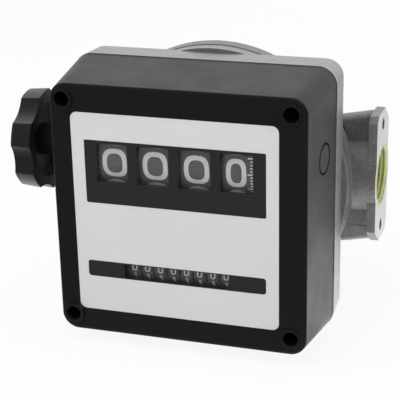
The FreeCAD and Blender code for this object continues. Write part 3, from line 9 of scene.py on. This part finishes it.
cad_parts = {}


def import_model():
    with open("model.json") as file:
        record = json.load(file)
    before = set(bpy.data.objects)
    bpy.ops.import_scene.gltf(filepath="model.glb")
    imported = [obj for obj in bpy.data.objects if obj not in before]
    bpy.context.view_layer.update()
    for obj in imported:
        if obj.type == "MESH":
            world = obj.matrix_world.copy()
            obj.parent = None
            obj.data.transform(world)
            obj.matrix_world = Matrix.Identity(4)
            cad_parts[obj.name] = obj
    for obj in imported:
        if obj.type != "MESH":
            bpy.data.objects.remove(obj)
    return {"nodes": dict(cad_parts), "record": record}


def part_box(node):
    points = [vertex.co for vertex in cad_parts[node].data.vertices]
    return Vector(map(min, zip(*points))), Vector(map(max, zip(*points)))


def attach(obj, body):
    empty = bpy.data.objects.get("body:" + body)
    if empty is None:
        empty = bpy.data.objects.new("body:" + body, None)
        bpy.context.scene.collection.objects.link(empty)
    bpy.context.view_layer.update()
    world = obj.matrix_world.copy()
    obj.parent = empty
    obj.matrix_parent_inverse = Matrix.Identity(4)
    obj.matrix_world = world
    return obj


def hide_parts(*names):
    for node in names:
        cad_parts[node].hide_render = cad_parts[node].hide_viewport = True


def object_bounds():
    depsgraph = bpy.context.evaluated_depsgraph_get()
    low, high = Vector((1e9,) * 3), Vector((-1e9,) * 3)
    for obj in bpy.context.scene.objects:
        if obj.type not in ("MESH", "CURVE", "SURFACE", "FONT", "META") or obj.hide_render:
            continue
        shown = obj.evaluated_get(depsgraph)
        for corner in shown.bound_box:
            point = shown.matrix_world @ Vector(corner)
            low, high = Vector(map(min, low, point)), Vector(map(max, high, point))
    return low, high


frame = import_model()

# Looks of a mechanical fuel meter. Metres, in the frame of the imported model:
# X along the ports, Y from the dial (negative) to the rear face, Z up.

MM = 0.001
CAD_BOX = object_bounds()
NODES = frame["nodes"]
JOINTS = {joint["name"]: joint for joint in frame["record"]["behaviour"]["joints"]}
MOUNTS = {mount["name"]: mount["pos_m"] for mount in frame["record"]["mounts"]}
PORT_SIDES = {"outlet_thread": 1, "inlet_thread": -1}

# --- figures on the wheels ---
# turn is the zero's angle up from the front, order is +1 where the next figure comes above it,
# shift is along X from the wheel's middle, and zero_extra is how much taller the zero is
FigureStyle = namedtuple(
    "FigureStyle", "width height stroke turn order shift zero_extra", defaults=(0.0, 0.0)
)
NUMBER_STYLE = FigureStyle(
    width=13.4 * MM, height=14.0 * MM, stroke=2.4 * MM, turn=math.radians(-3.5), order=1, zero_extra=1.5 * MM
)
UNITS_STYLE = NUMBER_STYLE._replace(width=10.6 * MM, shift=-1.3 * MM)
TOTAL_STYLE = FigureStyle(
    width=2.8 * MM, height=4.3 * MM, stroke=0.62 * MM, turn=math.radians(3.5), order=-1
)
NUMBER_WHEELS = 4
TOTAL_WHEELS = 8
FIGURES = 10
FIGURE_STEP = 2 * math.pi / FIGURES
INK = 0.03 * MM
ZERO_OUTER_POWER = 2.9
ZERO_INNER_POWER = 2.7
ZERO_POINTS = 64
ONE_PER_WIDTH = 0.5
FONT_SIZE_PER_HEIGHT = 1.4
FONT_OFFSET_PER_STROKE = 0.08
BEND_STEP = math.radians(4.0)
CUT_TOLERANCE = 1e-8
MERGE_DISTANCE = 1e-7
TICKS_PER_FIGURE = 10
TICKS_PER_LONG_TICK = 5
TICK_HEIGHT = 0.75 * MM
TICK_SHORT = 1.2 * MM
TICK_LONG = 2.6 * MM
TICK_EDGE_X = 7.2 * MM

# --- port thread, 1 inch pipe thread with 11 turns to the inch ---
THREAD_PITCH = 25.4 / 11 * MM
THREAD_CORE = 15.15 * MM
THREAD_DEPTH = 0.95 * MM
THREAD_MOUTH = 0.5 * MM
THREAD_POINTS = 96
THREAD_ROWS = 110

# --- cast ribs at the ports ---
# a station is x from the meter's middle, and the rib's end up or down from the port's axis
UPPER_RIB = ((60.0 * MM, 32.6 * MM), (82.7 * MM, 37.0 * MM))
LOWER_RIB = (
    (44.0 * MM, -38.3 * MM), (52.0 * MM, -41.0 * MM), (67.0 * MM, -41.0 * MM), (82.7 * MM, -37.8 * MM)
)
RIB_HALF = 4.6 * MM
RIB_EDGE = 3.0 * MM
RIB_ARC_STEPS = 12
BOLT_Z = 29.5 * MM
BOLT_CLEAR = 3.45 * MM

# --- ring of painted shadow on the side plug, standing for the shade in the gap round it; its face follows the draft of the housing's side ---
PLUG_RADIUS = 9.2 * MM
SIDE_DRAFT = 4.1 * MM
SEAM_INNER = 7.3 * MM
SEAM_OUTER = 8.4 * MM
SEAM_PROUD = 0.05 * MM
SEAM_SUNK = 0.3 * MM
SEAM_POINTS = 96

# --- view; the lens and the sensor are in millimetres ---
CAMERA_TARGET = Vector((0.59, -106.0, -1.61)) * MM
CAMERA_DISTANCE = 678.4 * MM
CAMERA_AZIMUTH = math.radians(18.21)
CAMERA_ELEVATION = math.radians(20.51)
CAMERA_ROLL = math.radians(-1.29)
CAMERA_LENS = 114.6
CAMERA_SENSOR = 36.0

# --- floor, world and lamps ---
# what a reflection sees: (low, high, strength at low, strength at high), where low and high are
# Y in metres on the floor, and the direction's Y (depth) and Z (height) in the world
FLOOR_HALF = 4.0
FLOOR_COLOUR = (0.85, 0.85, 0.85)
FLOOR_GLOW = 0.9
FLOOR_REFLECTED_RISE = (-0.17, -0.09, 0.04, 1.0)
FLOOR_REFLECTED_FALL = (-0.05, 0.09, 1.35, 0.62)
WORLD_LIGHT = 0.5
REFLECTED_FRONT = 0.05
REFLECTED_BY_DEPTH = (-0.35, 0.6, 0.0, 1.0)
REFLECTED_BY_HEIGHT = (-0.6, 0.6, 0.68, 0.88)
LAMP_AIM = Vector((0.0, -0.07, 0.0))
LAMPS = {
    "key_top": {"place": (-0.3, -0.5, 1.2), "side": 1.0, "power": 9.0},
    "side_right": {"place": (1.2, -0.2, 0.4), "side": 0.9, "power": 4.0},
    "front_fill": {"place": (-0.5, -1.4, 0.3), "side": 0.8, "power": 4.0},
    "back_fill": {"place": (0.3, 1.2, 0.8), "side": 1.0, "power": 4.0},
}

# --- noise: the range in which most of its values lie, and stretches for tool, drawing and rolling marks ---
NOISE_RANGE = (0.3, 0.7)
EVEN = (1, 1, 1)
BRUSHED_ALONG_X = (0.02, 1, 1)
DRAWN_ALONG_X = (0.05, 1, 1)
ROLLED_ALONG_Y = (1, 0.05, 1)
MILLED_ALONG_Z = (1, 1, 0.03)


# ---------------------------------------------------------------- node trees
class Tree:
    """Short calls that add nodes to one node tree and link them."""

    def __init__(self, owner, keep_nodes=False):
        owner.use_nodes = True
        self.tree = owner.node_tree
        if not keep_nodes:
            self.tree.nodes.clear()

    def node(self, kind, **settings):
        made = self.tree.nodes.new(kind)
        for key, value in settings.items():
            setattr(made, key, value)
        return made

    def link(self, source, target):
        self.tree.links.new(source, target)

    def ramp(self, value, low, high, out_low=0.0, out_high=1.0, kind="LINEAR"):
        """Spread low..high over out_low..out_high, and hold the ends."""
        mapped = self.node("ShaderNodeMapRange", interpolation_type=kind)
        numbers = {"From Min": low, "From Max": high, "To Min": out_low, "To Max": out_high}
        for socket, number in numbers.items():
            mapped.inputs[socket].default_value = number
        self.link(value, mapped.inputs["Value"])
        return mapped.outputs["Result"]

    def maths(self, operation, *values):
        node = self.node("ShaderNodeMath", operation=operation)
        for socket, value in zip(node.inputs, values):
            if isinstance(value, (int, float)):
                socket.default_value = value
            else:
                self.link(value, socket)
        return node.outputs["Value"]

    def axis(self, place, name):
        split = self.node("ShaderNodeSeparateXYZ")
        self.link(place, split.inputs["Vector"])
        return split.outputs[name]

    def white_light(self, kind, strength):
        """A white emission or background; its strength is a number or a node's output."""
        light = self.node(kind)
        light.inputs["Color"].default_value = (1, 1, 1, 1)
        if isinstance(strength, (int, float)):
            light.inputs["Strength"].default_value = strength
        else:
            self.link(strength, light.inputs["Strength"])
        return light.outputs[0]

    def mixed(self, mask, at_zero, at_one):
        mix = self.node("ShaderNodeMixShader")
        for socket, source in zip(mix.inputs, (mask, at_zero, at_one)):
            self.link(source, socket)
        return mix.outputs[0]


# ---------------------------------------------------------------- materials
class Surface(Tree):
    """One procedural material, built up from noise in the part's own coordinates."""

    def __init__(self, name, colour, roughness, metallic=0.0):
        self.material = bpy.data.materials.new(name)
        super().__init__(self.material, keep_nodes=True)
        self.shader = self.tree.nodes["Principled BSDF"]
        self.place = self.node("ShaderNodeTexCoord").outputs["Object"]
        self.base = colour
        self.colour = None
        self.roughness = roughness
        self.normal = None
        self.set("Base Color", (*colour, 1.0))
        self.set("Roughness", roughness)
        self.set("Metallic", metallic)

    def set(self, socket, value):
        self.shader.inputs[socket].default_value = value

    def noise(self, scale, detail=3.0, roughness=0.6, stretch=EVEN):
        """Noise in 0..1; scale is in waves a metre."""
        mapping = self.node("ShaderNodeMapping")
        mapping.inputs["Scale"].default_value = stretch
        self.link(self.place, mapping.inputs["Vector"])
        noise = self.node("ShaderNodeTexNoise")
        noise.inputs["Scale"].default_value = scale
        noise.inputs["Detail"].default_value = detail
        noise.inputs["Roughness"].default_value = roughness
        self.link(mapping.outputs["Vector"], noise.inputs["Vector"])
        return noise.outputs["Fac"]

    def tint(self, mask, colour):
        """Mix towards another colour by a 0..1 mask."""
        mix = self.node("ShaderNodeMix", data_type="RGBA")
        if self.colour is None:
            mix.inputs["A"].default_value = (*self.base, 1.0)
        else:
            self.link(self.colour, mix.inputs["A"])
        mix.inputs["B"].default_value = (*colour, 1.0)
        self.link(mask, mix.inputs["Factor"])
        self.colour = mix.outputs["Result"]
        self.link(self.colour, self.shader.inputs["Base Color"])

    def mottle(self, scale, amount):
        """Slow change of shade over the surface."""
        shade = self.ramp(self.noise(scale, detail=4.0), *NOISE_RANGE)
        self.tint(shade, tuple(part * (1 - amount) for part in self.base))

    def uneven_gloss(self, scale, spread, stretch=EVEN):
        noise = self.noise(scale, detail=4.0, stretch=stretch)
        gloss = self.ramp(noise, *NOISE_RANGE, self.roughness - spread, self.roughness + spread)
        self.link(gloss, self.shader.inputs["Roughness"])

    def bump(self, height, distance):
        bump = self.node("ShaderNodeBump")
        bump.inputs["Distance"].default_value = distance
        bump.inputs["Strength"].default_value = 1.0
        self.link(height, bump.inputs["Height"])
        if self.normal is not None:
            self.link(self.normal, bump.inputs["Normal"])
        self.normal = bump.outputs["Normal"]
        self.link(self.normal, self.shader.inputs["Normal"])

    def soft_edges(self, radius):
        """Rounded corners in the shading."""
        bevel = self.node("ShaderNodeBevel", samples=6)
        bevel.inputs["Radius"].default_value = radius
        self.normal = bevel.outputs["Normal"]
        self.link(self.normal, self.shader.inputs["Normal"])


def moulded_plastic(name, colour, roughness, grain_scale, grain, edge=0.35 * MM):
    """Moulded surface with rounded edges, a fine grain and a slightly uneven gloss."""
    surface = Surface(name, colour, roughness)
    surface.soft_edges(edge)
    surface.mottle(scale=45.0, amount=0.12)
    surface.uneven_gloss(scale=60.0, spread=0.05)
    surface.bump(surface.noise(grain_scale, detail=2.0), grain)
    return surface


def housing_plastic():
    return moulded_plastic(
        "housing_black_satin", (0.0105, 0.0105, 0.0115), 0.40, grain_scale=2600.0, grain=0.015 * MM
    ).material


def knob_plastic():
    surface = moulded_plastic(
        "knob_black_satin", (0.015, 0.015, 0.016), 0.36, grain_scale=900.0, grain=0.05 * MM
    )
    surface.set("Specular IOR Level", 1.0)
    return surface.material


def mask_plastic():
    return moulded_plastic(
        "mask_black_matt", (0.024, 0.024, 0.025), 0.5, grain_scale=3200.0, grain=0.008 * MM, edge=0.15 * MM
    ).material


def wheel_plastic():
    return moulded_plastic(
        "wheel_dark_grey", (0.117, 0.118, 0.120), 0.6, grain_scale=3000.0, grain=0.008 * MM, edge=0.15 * MM
    ).material


def resin(name, colour):
    return moulded_plastic(
        name, colour, 0.45, grain_scale=1500.0, grain=0.015 * MM, edge=0.25 * MM
    ).material


def seam_shadow():
    """Almost black painted shadow, for the shade in the narrow gap round a flush plug."""
    surface = Surface("seam_shadow", (0.002, 0.002, 0.002), 0.9)
    surface.set("Specular IOR Level", 0.05)
    surface.mottle(scale=500.0, amount=0.3)
    return surface.material


def figure_ink():
    surface = Surface("figure_ink_white", (0.78, 0.79, 0.78), 0.55)
    surface.mottle(scale=900.0, amount=0.08)
    surface.bump(surface.noise(4000.0, detail=2.0), 0.006 * MM)
    return surface.material


def dial_silver():
    surface = Surface("dial_satin_silver", (0.73, 0.735, 0.74), 0.42, metallic=0.1)
    surface.soft_edges(0.3 * MM)
    surface.mottle(scale=30.0, amount=0.03)
    surface.uneven_gloss(scale=2400.0, spread=0.05, stretch=BRUSHED_ALONG_X)
    surface.bump(surface.noise(3000.0, stretch=BRUSHED_ALONG_X), 0.004 * MM)
    return surface.material


def cast_aluminium():
    """Sand-cast alloy, machined bright on the port flanges and the rear face."""
    surface = Surface("cast_aluminium", (0.50, 0.50, 0.495), 0.5, metallic=0.7)
    surface.soft_edges(0.5 * MM)
    surface.mottle(scale=120.0, amount=0.25)
    machined = machined_faces(surface)
    surface.tint(machined, (0.88, 0.88, 0.88))
    rough = surface.maths("SUBTRACT", 1.0, machined)
    grain = surface.noise(900.0, detail=6.0, roughness=0.75)
    hollows = surface.ramp(grain, low=0.42, high=0.62, out_low=0.55, out_high=0.0)
    surface.tint(surface.maths("MULTIPLY", hollows, rough), (0.20, 0.20, 0.20))
    surface.bump(surface.maths("MULTIPLY", grain, rough), 0.45 * MM)
    cutter_marks = surface.noise(2200.0, detail=2.0, roughness=0.5, stretch=MILLED_ALONG_Z)
    surface.bump(surface.maths("MULTIPLY", cutter_marks, machined), 0.006 * MM)
    return surface.material


def machined_faces(surface):
    """Mask that is 1 on the outer faces of both port flanges and on the rear face."""
    skin = 0.05 * MM
    body_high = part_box("meter_body")[1]
    across = surface.maths("ABSOLUTE", surface.axis(surface.place, "X"))
    on_flange = surface.maths("GREATER_THAN", across, body_high.x - skin)
    on_rear = surface.maths("GREATER_THAN", surface.axis(surface.place, "Y"), body_high.y - skin)
    return surface.maths("MAXIMUM", on_flange, on_rear)


def base_alloy():
    """Finely shot-blasted casting behind the black housing."""
    surface = Surface("blasted_aluminium", (0.50, 0.50, 0.49), 0.45, metallic=0.85)
    surface.soft_edges(0.6 * MM)
    surface.mottle(scale=70.0, amount=0.10)
    surface.uneven_gloss(scale=200.0, spread=0.06)
    surface.bump(surface.noise(2400.0), 0.02 * MM)
    return surface.material


def metal(name, colour, roughness, scale, stretch=EVEN):
    surface = Surface(name, colour, roughness, metallic=1.0)
    surface.soft_edges(0.15 * MM)
    surface.mottle(scale=160.0, amount=0.12)
    surface.uneven_gloss(scale=400.0, spread=0.08, stretch=stretch)
    surface.bump(surface.noise(scale, stretch=stretch), 0.006 * MM)
    return surface.material


def insert_plastic():
    """Yellow-green lining of the ports, which lets some light in."""
    surface = Surface("thread_insert_yellow_green", (0.70, 0.72, 0.36), 0.4)
    surface.set("Subsurface Weight", 0.5)
    surface.set("Subsurface Radius", (2.0 * MM, 2.0 * MM, 0.8 * MM))
    surface.set("Subsurface Scale", 1.0)
    surface.mottle(scale=300.0, amount=0.18)
    surface.bump(surface.noise(1800.0), 0.02 * MM)
    return surface.material


def clear_pane():
    surface = Surface("clear_pane", (0.2, 0.21, 0.21), 0.06)
    surface.set("Alpha", 0.07)
    surface.uneven_gloss(scale=80.0, spread=0.03)
    return surface.material


def rubber():
    surface = Surface("black_rubber", (0.018, 0.018, 0.018), 0.75)
    surface.mottle(scale=200.0, amount=0.2)
    surface.bump(surface.noise(1600.0, detail=4.0), 0.02 * MM)
    return surface.material


MATERIALS = {
    "housing_plastic": housing_plastic(),
    "knob_plastic": knob_plastic(),
    "dial_plate": dial_silver(),
    "mask_plastic": mask_plastic(),
    "clear_pane": clear_pane(),
    "steel": metal("zinc_plated_steel", (0.50, 0.51, 0.53), 0.32, scale=1500.0),
    "sheet_steel": metal("plated_sheet", (0.55, 0.55, 0.52), 0.38, scale=900.0, stretch=ROLLED_ALONG_Y),
    "brass": metal("turned_brass", (0.62, 0.45, 0.18), 0.3, scale=2000.0, stretch=DRAWN_ALONG_X),
    "cast_aluminium": cast_aluminium(),
    "rubber": rubber(),
    "thread_insert": insert_plastic(),
    "chamber_resin": resin("chamber_resin", (0.50, 0.47, 0.38)),
    "disc_resin": resin("disc_resin", (0.05, 0.05, 0.055)),
    "gear_nylon": resin("gear_nylon", (0.72, 0.71, 0.66)),
    "wheel_plastic": wheel_plastic(),
}
NODE_MATERIALS = {"register_base": base_alloy()}
FIGURE_INK = figure_ink()


def dress_nodes():
    """Each CAD node takes its own material, or the one of its slot."""
    for part in frame["record"]["subparts"]:
        name = part["node"]
        mesh = NODES[name].data
        mesh.materials.clear()
        mesh.materials.append(NODE_MATERIALS.get(name) or MATERIALS[part["material_slot"]])


# ---------------------------------------------------------------- helpers for meshes
def new_object(name, data):
    made = bpy.data.objects.new(name, data)
    bpy.context.scene.collection.objects.link(made)
    return made


def new_piece(name, shape, material, body):
    """Turn a bmesh into a piece that rides on a body."""
    mesh = bpy.data.meshes.new(name)
    shape.to_mesh(mesh)
    shape.free()
    mesh.materials.append(material)
    piece = new_object(name, mesh)
    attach(piece, body)
    return piece


def join_into(target, source):
    mesh = bpy.data.meshes.new("joined")
    source.to_mesh(mesh)
    source.free()
    target.from_mesh(mesh)
    bpy.data.meshes.remove(mesh)


def round_points(centre, radii):
    """Points (y, z) round a centre, one for each radius."""
    points = []
    for i, radius in enumerate(radii):
        angle = 2 * math.pi * i / len(radii)
        points.append((centre.y + radius * math.cos(angle), centre.z + radius * math.sin(angle)))
    return points


def bridge(shape, rings):
    """Quads between each ring of points and the next."""
    for first, second in zip(rings, rings[1:]):
        for i in range(len(first)):
            j = (i + 1) % len(first)
            shape.faces.new((first[i], first[j], second[j], second[i]))


# ---------------------------------------------------------------- figures on the wheels
def superellipse(width, height, power):
    """Points round a ring between an ellipse and a rectangle; a higher power is squarer."""
    points = []
    for i in range(ZERO_POINTS):
        angle = 2 * math.pi * i / ZERO_POINTS
        across = math.cos(angle)
        up = math.sin(angle)
        points.append((
            math.copysign(abs(across) ** (2 / power), across) * width / 2,
            math.copysign(abs(up) ** (2 / power), up) * height / 2,
        ))
    return points


def zero_curve(width, height, stroke):
    curve = bpy.data.curves.new("zero", "CURVE")
    outer = superellipse(width, height, ZERO_OUTER_POWER)
    inner = superellipse(width - 2 * stroke, height - 2 * stroke, ZERO_INNER_POWER)
    for ring in (outer, inner):
        spline = curve.splines.new("POLY")
        spline.points.add(len(ring) - 1)
        for point, (x, y) in zip(spline.points, ring):
            point.co = (x, y, 0, 1)
        spline.use_cyclic_u = True
    return curve


def font_curve(figure, height, stroke):
    curve = bpy.data.curves.new("figure", "FONT")
    curve.body = str(figure)
    curve.size = height * FONT_SIZE_PER_HEIGHT
    curve.offset = stroke * FONT_OFFSET_PER_STROKE
    return curve


def flat_figure(figure, width, height, stroke):
    """Bmesh of a figure standing in the local XY plane, centred, with a little thickness."""
    curve = zero_curve(width, height, stroke) if figure == 0 else font_curve(figure, height, stroke)
    curve.dimensions = "2D"
    curve.fill_mode = "BOTH"
    curve.extrude = INK / 2
    carrier = new_object("figure", curve)
    bpy.context.view_layer.update()
    mesh = bpy.data.meshes.new_from_object(carrier.evaluated_get(bpy.context.evaluated_depsgraph_get()))
    shape = bmesh.new()
    shape.from_mesh(mesh)
    bpy.data.objects.remove(carrier)
    bpy.data.curves.remove(curve)
    bpy.data.meshes.remove(mesh)
    fit_figure(shape, width * ONE_PER_WIDTH if figure == 1 else width, height)
    return shape


def fit_figure(shape, width, height):
    low = Vector(map(min, zip(*(vertex.co for vertex in shape.verts))))
    high = Vector(map(max, zip(*(vertex.co for vertex in shape.verts))))
    middle = (low + high) / 2
    scale = Vector((width / (high.x - low.x), height / (high.y - low.y), INK / (high.z - low.z)))
    for vertex in shape.verts:
        vertex.co = (vertex.co - middle) * scale
    bmesh.ops.remove_doubles(shape, verts=shape.verts, dist=MERGE_DISTANCE)


def slice_rows(shape, height, step):
    """Cut the faces into rows so that they can bend round a drum."""
    y = -height / 2 + step
    while y < height / 2:
        geometry = shape.verts[:] + shape.edges[:] + shape.faces[:]
        bmesh.ops.bisect_plane(
            shape, geom=geometry, dist=CUT_TOLERANCE, plane_co=(0, y, 0), plane_no=(0, 1, 0)
        )
        y += step


def wrap(shape, centre, radius, turn, shift=0.0):
    """Bend local XY round a drum about the X axis; turn is up from the front."""
    for vertex in shape.verts:
        angle = turn + vertex.co.y / radius
        reach = radius + INK / 2 + vertex.co.z
        vertex.co = Vector((
            centre.x + shift + vertex.co.x,
            centre.y - reach * math.cos(angle),
            centre.z + reach * math.sin(angle),
        ))


def wheel_radius(node):
    low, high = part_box(node)
    return (high.z - low.z) / 2


def add_figures(ring, centre, radius, style):
    """The ten figures round one wheel."""
    for figure in range(FIGURES):
        height = style.height + (style.zero_extra if figure == 0 else 0.0)
        shape = flat_figure(figure, style.width, height, style.stroke)
        slice_rows(shape, height, radius * BEND_STEP)
        wrap(shape, centre, radius, style.turn + style.order * figure * FIGURE_STEP, style.shift)
        join_into(ring, shape)


def add_ticks(ring, centre, radius, turn):
    """Scale at the right edge of the units wheel, with a long tick at each figure and half-way."""
    count = FIGURES * TICKS_PER_FIGURE
    for i in range(count):
        length = TICK_SHORT if i % TICKS_PER_LONG_TICK else TICK_LONG
        tick = bmesh.new()
        bmesh.ops.create_cube(tick, size=1.0)
        for vertex in tick.verts:
            x = TICK_EDGE_X - length / 2 + vertex.co.x * length
            vertex.co = Vector((x, vertex.co.y * TICK_HEIGHT, vertex.co.z * INK))
        wrap(tick, centre, radius, turn + FIGURE_STEP / 2 + 2 * math.pi * i / count)
        join_into(ring, tick)


def wheel_figures(kind, i, style, ticks=False):
    """Piece with the figures of one wheel, which rides on the wheel's drum."""
    centre = Vector(JOINTS[f"{kind}_drum_{i}_turn"]["pos_m"])
    radius = wheel_radius(f"{kind}_wheel_{i}")
    ring = bmesh.new()
    add_figures(ring, centre, radius, style)
    if ticks:
        add_ticks(ring, centre, radius, style.turn)
    new_piece(f"{kind}_figures_{i}", ring, FIGURE_INK, f"{kind}_drum_{i}")


def counter_figures():
    wheel_figures("number", 1, UNITS_STYLE, ticks=True)
    for i in range(2, NUMBER_WHEELS + 1):
        wheel_figures("number", i, NUMBER_STYLE)
    for i in range(1, TOTAL_WHEELS + 1):
        wheel_figures("total", i, TOTAL_STYLE)


# ---------------------------------------------------------------- ports and plug
def thread_radius(depth, length, turned):
    """Inner radius at a depth and a share of a turn; the thread fades out at the inner end."""
    phase = (depth / THREAD_PITCH + turned) % 1.0
    ridge = abs(2 * phase - 1)
    fade = min(1.0, max(0.0, (length - depth) / THREAD_PITCH))
    mouth = max(0.0, THREAD_MOUTH - depth)
    return THREAD_CORE + max(THREAD_DEPTH * ridge * fade, mouth)


def threaded_insert(shape, port, side):
    """Ring with a real helical thread inside; side is +1 for the right port."""
    low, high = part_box("port_inserts")
    inner_x = min(abs(vertex.co.x) for vertex in NODES["port_inserts"].data.vertices)
    length = high.x - inner_x
    outer = (high.z - low.z) / 2
    rows = []
    for row in range(THREAD_ROWS + 1):
        depth = length * row / THREAD_ROWS
        radii = [thread_radius(depth, length, i / THREAD_POINTS) for i in range(THREAD_POINTS)]
        rows.append((depth, radii))
    for depth in (length, 0.0):
        rows.append((depth, [outer] * THREAD_POINTS))
    rings = [
        [shape.verts.new((side * (high.x - depth), y, z)) for y, z in round_points(port, radii)]
        for depth, radii in rows
    ]
    bridge(shape, rings + rings[:1])


def port_threads():
    shape = bmesh.new()
    for name, side in PORT_SIDES.items():
        threaded_insert(shape, Vector(MOUNTS[name]), side)
    bmesh.ops.recalc_face_normals(shape, faces=shape.faces)
    piece = new_piece("threaded_inserts", shape, MATERIALS["thread_insert"], "meter")
    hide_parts("port_inserts")
    for face in piece.data.polygons:
        face.use_smooth = True


def rib_section(end):
    """Points (y, z) of a rib that ends at height end, rounded there and arched over the bolt hole."""
    way = math.copysign(1.0, end)
    angles = [math.pi * i / RIB_ARC_STEPS for i in range(RIB_ARC_STEPS + 1)]
    edge = [(RIB_HALF * math.cos(a), end - way * RIB_EDGE * (1 - math.sin(a))) for a in angles]
    hole = [(-BOLT_CLEAR * math.cos(a), way * (BOLT_Z + BOLT_CLEAR * math.sin(a))) for a in angles]
    return [(RIB_HALF, way * BOLT_Z)] + edge + [(-RIB_HALF, way * BOLT_Z)] + hole


def port_ribs():
    """Cast ribs above and below each neck, growing out to the ends of the flange plate."""
    shape = bmesh.new()
    for name, side in PORT_SIDES.items():
        port = Vector(MOUNTS[name])
        for stations in (UPPER_RIB, LOWER_RIB):
            rings = [
                [shape.verts.new((side * x, port.y + y, port.z + z)) for y, z in rib_section(end)]
                for x, end in stations
            ]
            bridge(shape, rings)
            for ring in (rings[0], rings[-1]):
                shape.faces.new(ring)
    bmesh.ops.recalc_face_normals(shape, faces=shape.faces)
    new_piece("port_ribs", shape, MATERIALS["cast_aluminium"], "meter")


def plug_seam():
    """Painted shadow: a dark ring pressed into the face of the flush plug in the sloping right side, standing
    for the shade in the gap round the plug.
    """
    low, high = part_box("side_plug")
    centre = (low + high) / 2
    housing_low, housing_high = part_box("counter_housing")
    slope = SIDE_DRAFT / (housing_high.y - housing_low.y)
    shape = bmesh.new()
    rings = []
    corners = (
        (SEAM_INNER, SEAM_PROUD), (SEAM_OUTER, SEAM_PROUD), (SEAM_OUTER, -SEAM_SUNK), (SEAM_INNER, -SEAM_SUNK)
    )
    for radius, proud in corners:
        ring = []
        for y, z in round_points(centre, [radius] * SEAM_POINTS):
            face_x = high.x + slope * (y - centre.y - PLUG_RADIUS)
            ring.append(shape.verts.new((face_x + proud, y, z)))
        rings.append(ring)
    bridge(shape, rings + rings[:1])
    bmesh.ops.recalc_face_normals(shape, faces=shape.faces)
    # the ring is painted shadow for the shade in the gap round the side plug
    new_piece("plug_seam", shape, seam_shadow(), "meter")


# ---------------------------------------------------------------- stage
def floor_material():
    """White to the camera apart from the shadow; reflections see it dark in front of the dial."""
    material = bpy.data.materials.new("floor_white")
    tree = Tree(material)
    path = tree.node("ShaderNodeLightPath").outputs
    depth = tree.axis(tree.node("ShaderNodeTexCoord").outputs["Object"], "Y")
    diffuse = tree.node("ShaderNodeBsdfDiffuse")
    diffuse.inputs["Color"].default_value = (*FLOOR_COLOUR, 1.0)
    glow = tree.maths("MULTIPLY", path["Is Camera Ray"], FLOOR_GLOW)
    seen = tree.mixed(glow, diffuse.outputs[0], tree.white_light("ShaderNodeEmission", 1.0))
    level = tree.maths(
        "MULTIPLY", tree.ramp(depth, *FLOOR_REFLECTED_RISE), tree.ramp(depth, *FLOOR_REFLECTED_FALL)
    )
    reflected = tree.white_light("ShaderNodeEmission", level)
    surface = tree.mixed(path["Is Glossy Ray"], seen, reflected)
    tree.link(surface, tree.node("ShaderNodeOutputMaterial").inputs["Surface"])
    return material


def floor():
    z = CAD_BOX[0].z
    corners = [(-1, -1), (1, -1), (1, 1), (-1, 1)]
    mesh = bpy.data.meshes.new("floor")
    mesh.from_pydata([(x * FLOOR_HALF, y * FLOOR_HALF, z) for x, y in corners], [], [(0, 1, 2, 3)])
    mesh.materials.append(floor_material())
    new_object("floor", mesh)


def world():
    """Even light, with reflections that are dark in front of the dial and bright behind and above."""
    studio = bpy.data.worlds.new("studio")
    bpy.context.scene.world = studio
    tree = Tree(studio)
    path = tree.node("ShaderNodeLightPath").outputs
    direction = tree.node("ShaderNodeTexCoord").outputs["Generated"]
    behind = tree.ramp(tree.axis(direction, "Y"), *REFLECTED_BY_DEPTH, kind="SMOOTHSTEP")
    height = tree.ramp(tree.axis(direction, "Z"), *REFLECTED_BY_HEIGHT)
    level = tree.maths("MULTIPLY_ADD", behind, height, REFLECTED_FRONT)
    even = tree.white_light("ShaderNodeBackground", WORLD_LIGHT)
    lit = tree.mixed(path["Is Glossy Ray"], even, tree.white_light("ShaderNodeBackground", level))
    seen = tree.mixed(path["Is Camera Ray"], lit, tree.white_light("ShaderNodeBackground", 1.0))
    tree.link(seen, tree.node("ShaderNodeOutputWorld").inputs["Surface"])


def lamps():
    """Square soft lamps, which aren't seen in reflections."""
    for name, lamp in LAMPS.items():
        data = bpy.data.lights.new(name, "AREA")
        data.shape = "SQUARE"
        data.size = lamp["side"]
        data.energy = lamp["power"]
        made = new_object(name, data)
        made.location = lamp["place"]
        made.rotation_euler = (LAMP_AIM - Vector(lamp["place"])).to_track_quat("-Z", "Y").to_euler()
        made.visible_glossy = False


def camera():
    back = Vector((
        math.sin(CAMERA_AZIMUTH) * math.cos(CAMERA_ELEVATION),
        -math.cos(CAMERA_AZIMUTH) * math.cos(CAMERA_ELEVATION),
        math.sin(CAMERA_ELEVATION),
    ))
    right = Vector((math.cos(CAMERA_AZIMUTH), math.sin(CAMERA_AZIMUTH), 0.0))
    up = back.cross(right)
    rolled_right = right * math.cos(CAMERA_ROLL) + up * math.sin(CAMERA_ROLL)
    rolled_up = up * math.cos(CAMERA_ROLL) - right * math.sin(CAMERA_ROLL)
    turn = Matrix((rolled_right, rolled_up, back)).transposed().to_4x4()
    data = bpy.data.cameras.new("camera")
    data.lens = CAMERA_LENS
    data.sensor_width = CAMERA_SENSOR
    eye = new_object("camera", data)
    eye.matrix_world = Matrix.Translation(CAMERA_TARGET + CAMERA_DISTANCE * back) @ turn
    bpy.context.scene.camera = eye


dress_nodes()
counter_figures()
port_threads()
port_ribs()
# painted shadow in the gap round the side plug
plug_seam()
floor()
world()
lamps()
camera()
bpy.context.scene.view_settings.view_transform = "Standard"
